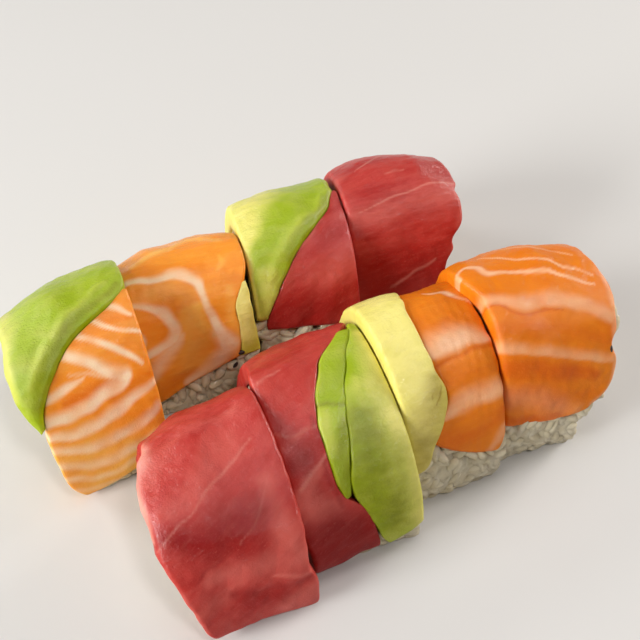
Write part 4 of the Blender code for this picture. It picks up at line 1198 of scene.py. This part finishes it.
for name in SLICES:
    for made, node, slot in ((rice_piece(name), f"rice_{name}", "rice"),
                             (nori_piece(name), f"nori_{name}", "nori")):
        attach(made, "root")
        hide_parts(node)


# ---------------------------------------------------------------- floor, light and camera

# Four of the lamps stand where a fit of test renders to the photo put light, and their watts were
# changed by hand after it. The front one was added to them.
LAMP_TARGET = (0.0, 0.0, 0.02)
LAMPS = {  # place in metres, diameter, watts and colour
    "right": ((0.86, 0.0, 0.37), 0.42, 6.2, (1.0, 0.975, 0.945)),
    "back_left": ((-0.56, 0.66, 0.37), 0.42, 3.8, (1.0, 1.0, 0.99)),
    "left": ((-0.86, 0.0, 0.37), 0.42, 8.6, (0.98, 1.0, 1.0)),
    "above": ((0.02, 0.0, 0.95), 0.42, 1.4, (1.0, 0.98, 0.96)),
    "front": ((0.0, -0.42, 0.85), 0.12, 1.7, (1.0, 0.99, 0.98)),
}
SKY_COLOUR = (1.0, 0.985, 0.97, 1.0)
SKY_LOW, SKY_HIGH = 0.16, 0.13  # strength at the horizon and overhead
VIEW_DOWN, VIEW_ROUND = 54, -31   # degrees, as in the photograph
VIEW_DISTANCE = 0.2644
VIEW_HEIGHT = 18.0              # of the point it looks at
PHOTO_WIDTH, PHOTO_FOCAL, PHOTO_RISE = 640, 1150, 70   # pixels


def floor():
    net = Net("pale_floor")
    soft = net.noise(net.place(), 6.0, 2.0)
    net.shade(Base_Color=net.mix(soft, linear(210, 207, 203), linear(214, 211, 208)), Roughness=0.5)
    bpy.ops.mesh.primitive_plane_add(size=6.0)
    plane = bpy.context.object
    plane.name = "floor"
    plane.data.materials.append(net.material)


def lamp(name, place, size, energy, colour):
    data = bpy.data.lights.new(name, "AREA")
    data.shape = "DISK"
    data.size, data.energy, data.color = size, energy, colour
    item = bpy.data.objects.new(name, data)
    item.location = place
    item.rotation_euler = (Vector(LAMP_TARGET) - Vector(place)).to_track_quat("-Z", "Y").to_euler()
    bpy.context.scene.collection.objects.link(item)


def studio():
    """Soft light from all round."""
    world = bpy.data.worlds.new("studio")
    bpy.context.scene.world = world
    world.use_nodes = True
    nodes, links = world.node_tree.nodes, world.node_tree.links
    back = nodes["Background"]
    back.inputs["Color"].default_value = SKY_COLOUR
    place = nodes.new("ShaderNodeTexCoord")
    apart = nodes.new("ShaderNodeSeparateXYZ")
    share = nodes.new("ShaderNodeMapRange")
    for value, socket in zip((0.0, 0.0, 1.0, SKY_LOW, SKY_HIGH), share.inputs):
        socket.default_value = value
    links.new(place.outputs["Generated"], apart.inputs[0])
    links.new(apart.outputs["Z"], share.inputs[0])
    links.new(share.outputs[0], back.inputs["Strength"])


def camera():
    """At the photograph's viewing angle."""
    pitch, turn = math.radians(VIEW_DOWN), math.radians(VIEW_ROUND)
    back = Vector((math.sin(turn) * math.cos(pitch), -math.cos(turn) * math.cos(pitch), math.sin(pitch)))
    target = Vector((-SERVING_CENTRE[0], -SERVING_CENTRE[1], VIEW_HEIGHT)) * MM
    data = bpy.data.cameras.new("camera")
    data.sensor_width = 36
    data.lens = PHOTO_FOCAL / PHOTO_WIDTH * data.sensor_width
    data.shift_y = PHOTO_RISE / PHOTO_WIDTH
    data.clip_start = 0.01
    item = bpy.data.objects.new("camera", data)
    item.location = target + back * VIEW_DISTANCE
    item.rotation_euler = (-back).to_track_quat("-Z", "Y").to_euler()
    bpy.context.scene.collection.objects.link(item)
    bpy.context.scene.camera = item


floor()
for label, looks in LAMPS.items():
    lamp(label, *looks)
studio()
bpy.context.scene.view_settings.view_transform = "Standard"
camera()

bpy.context.view_layer.update()
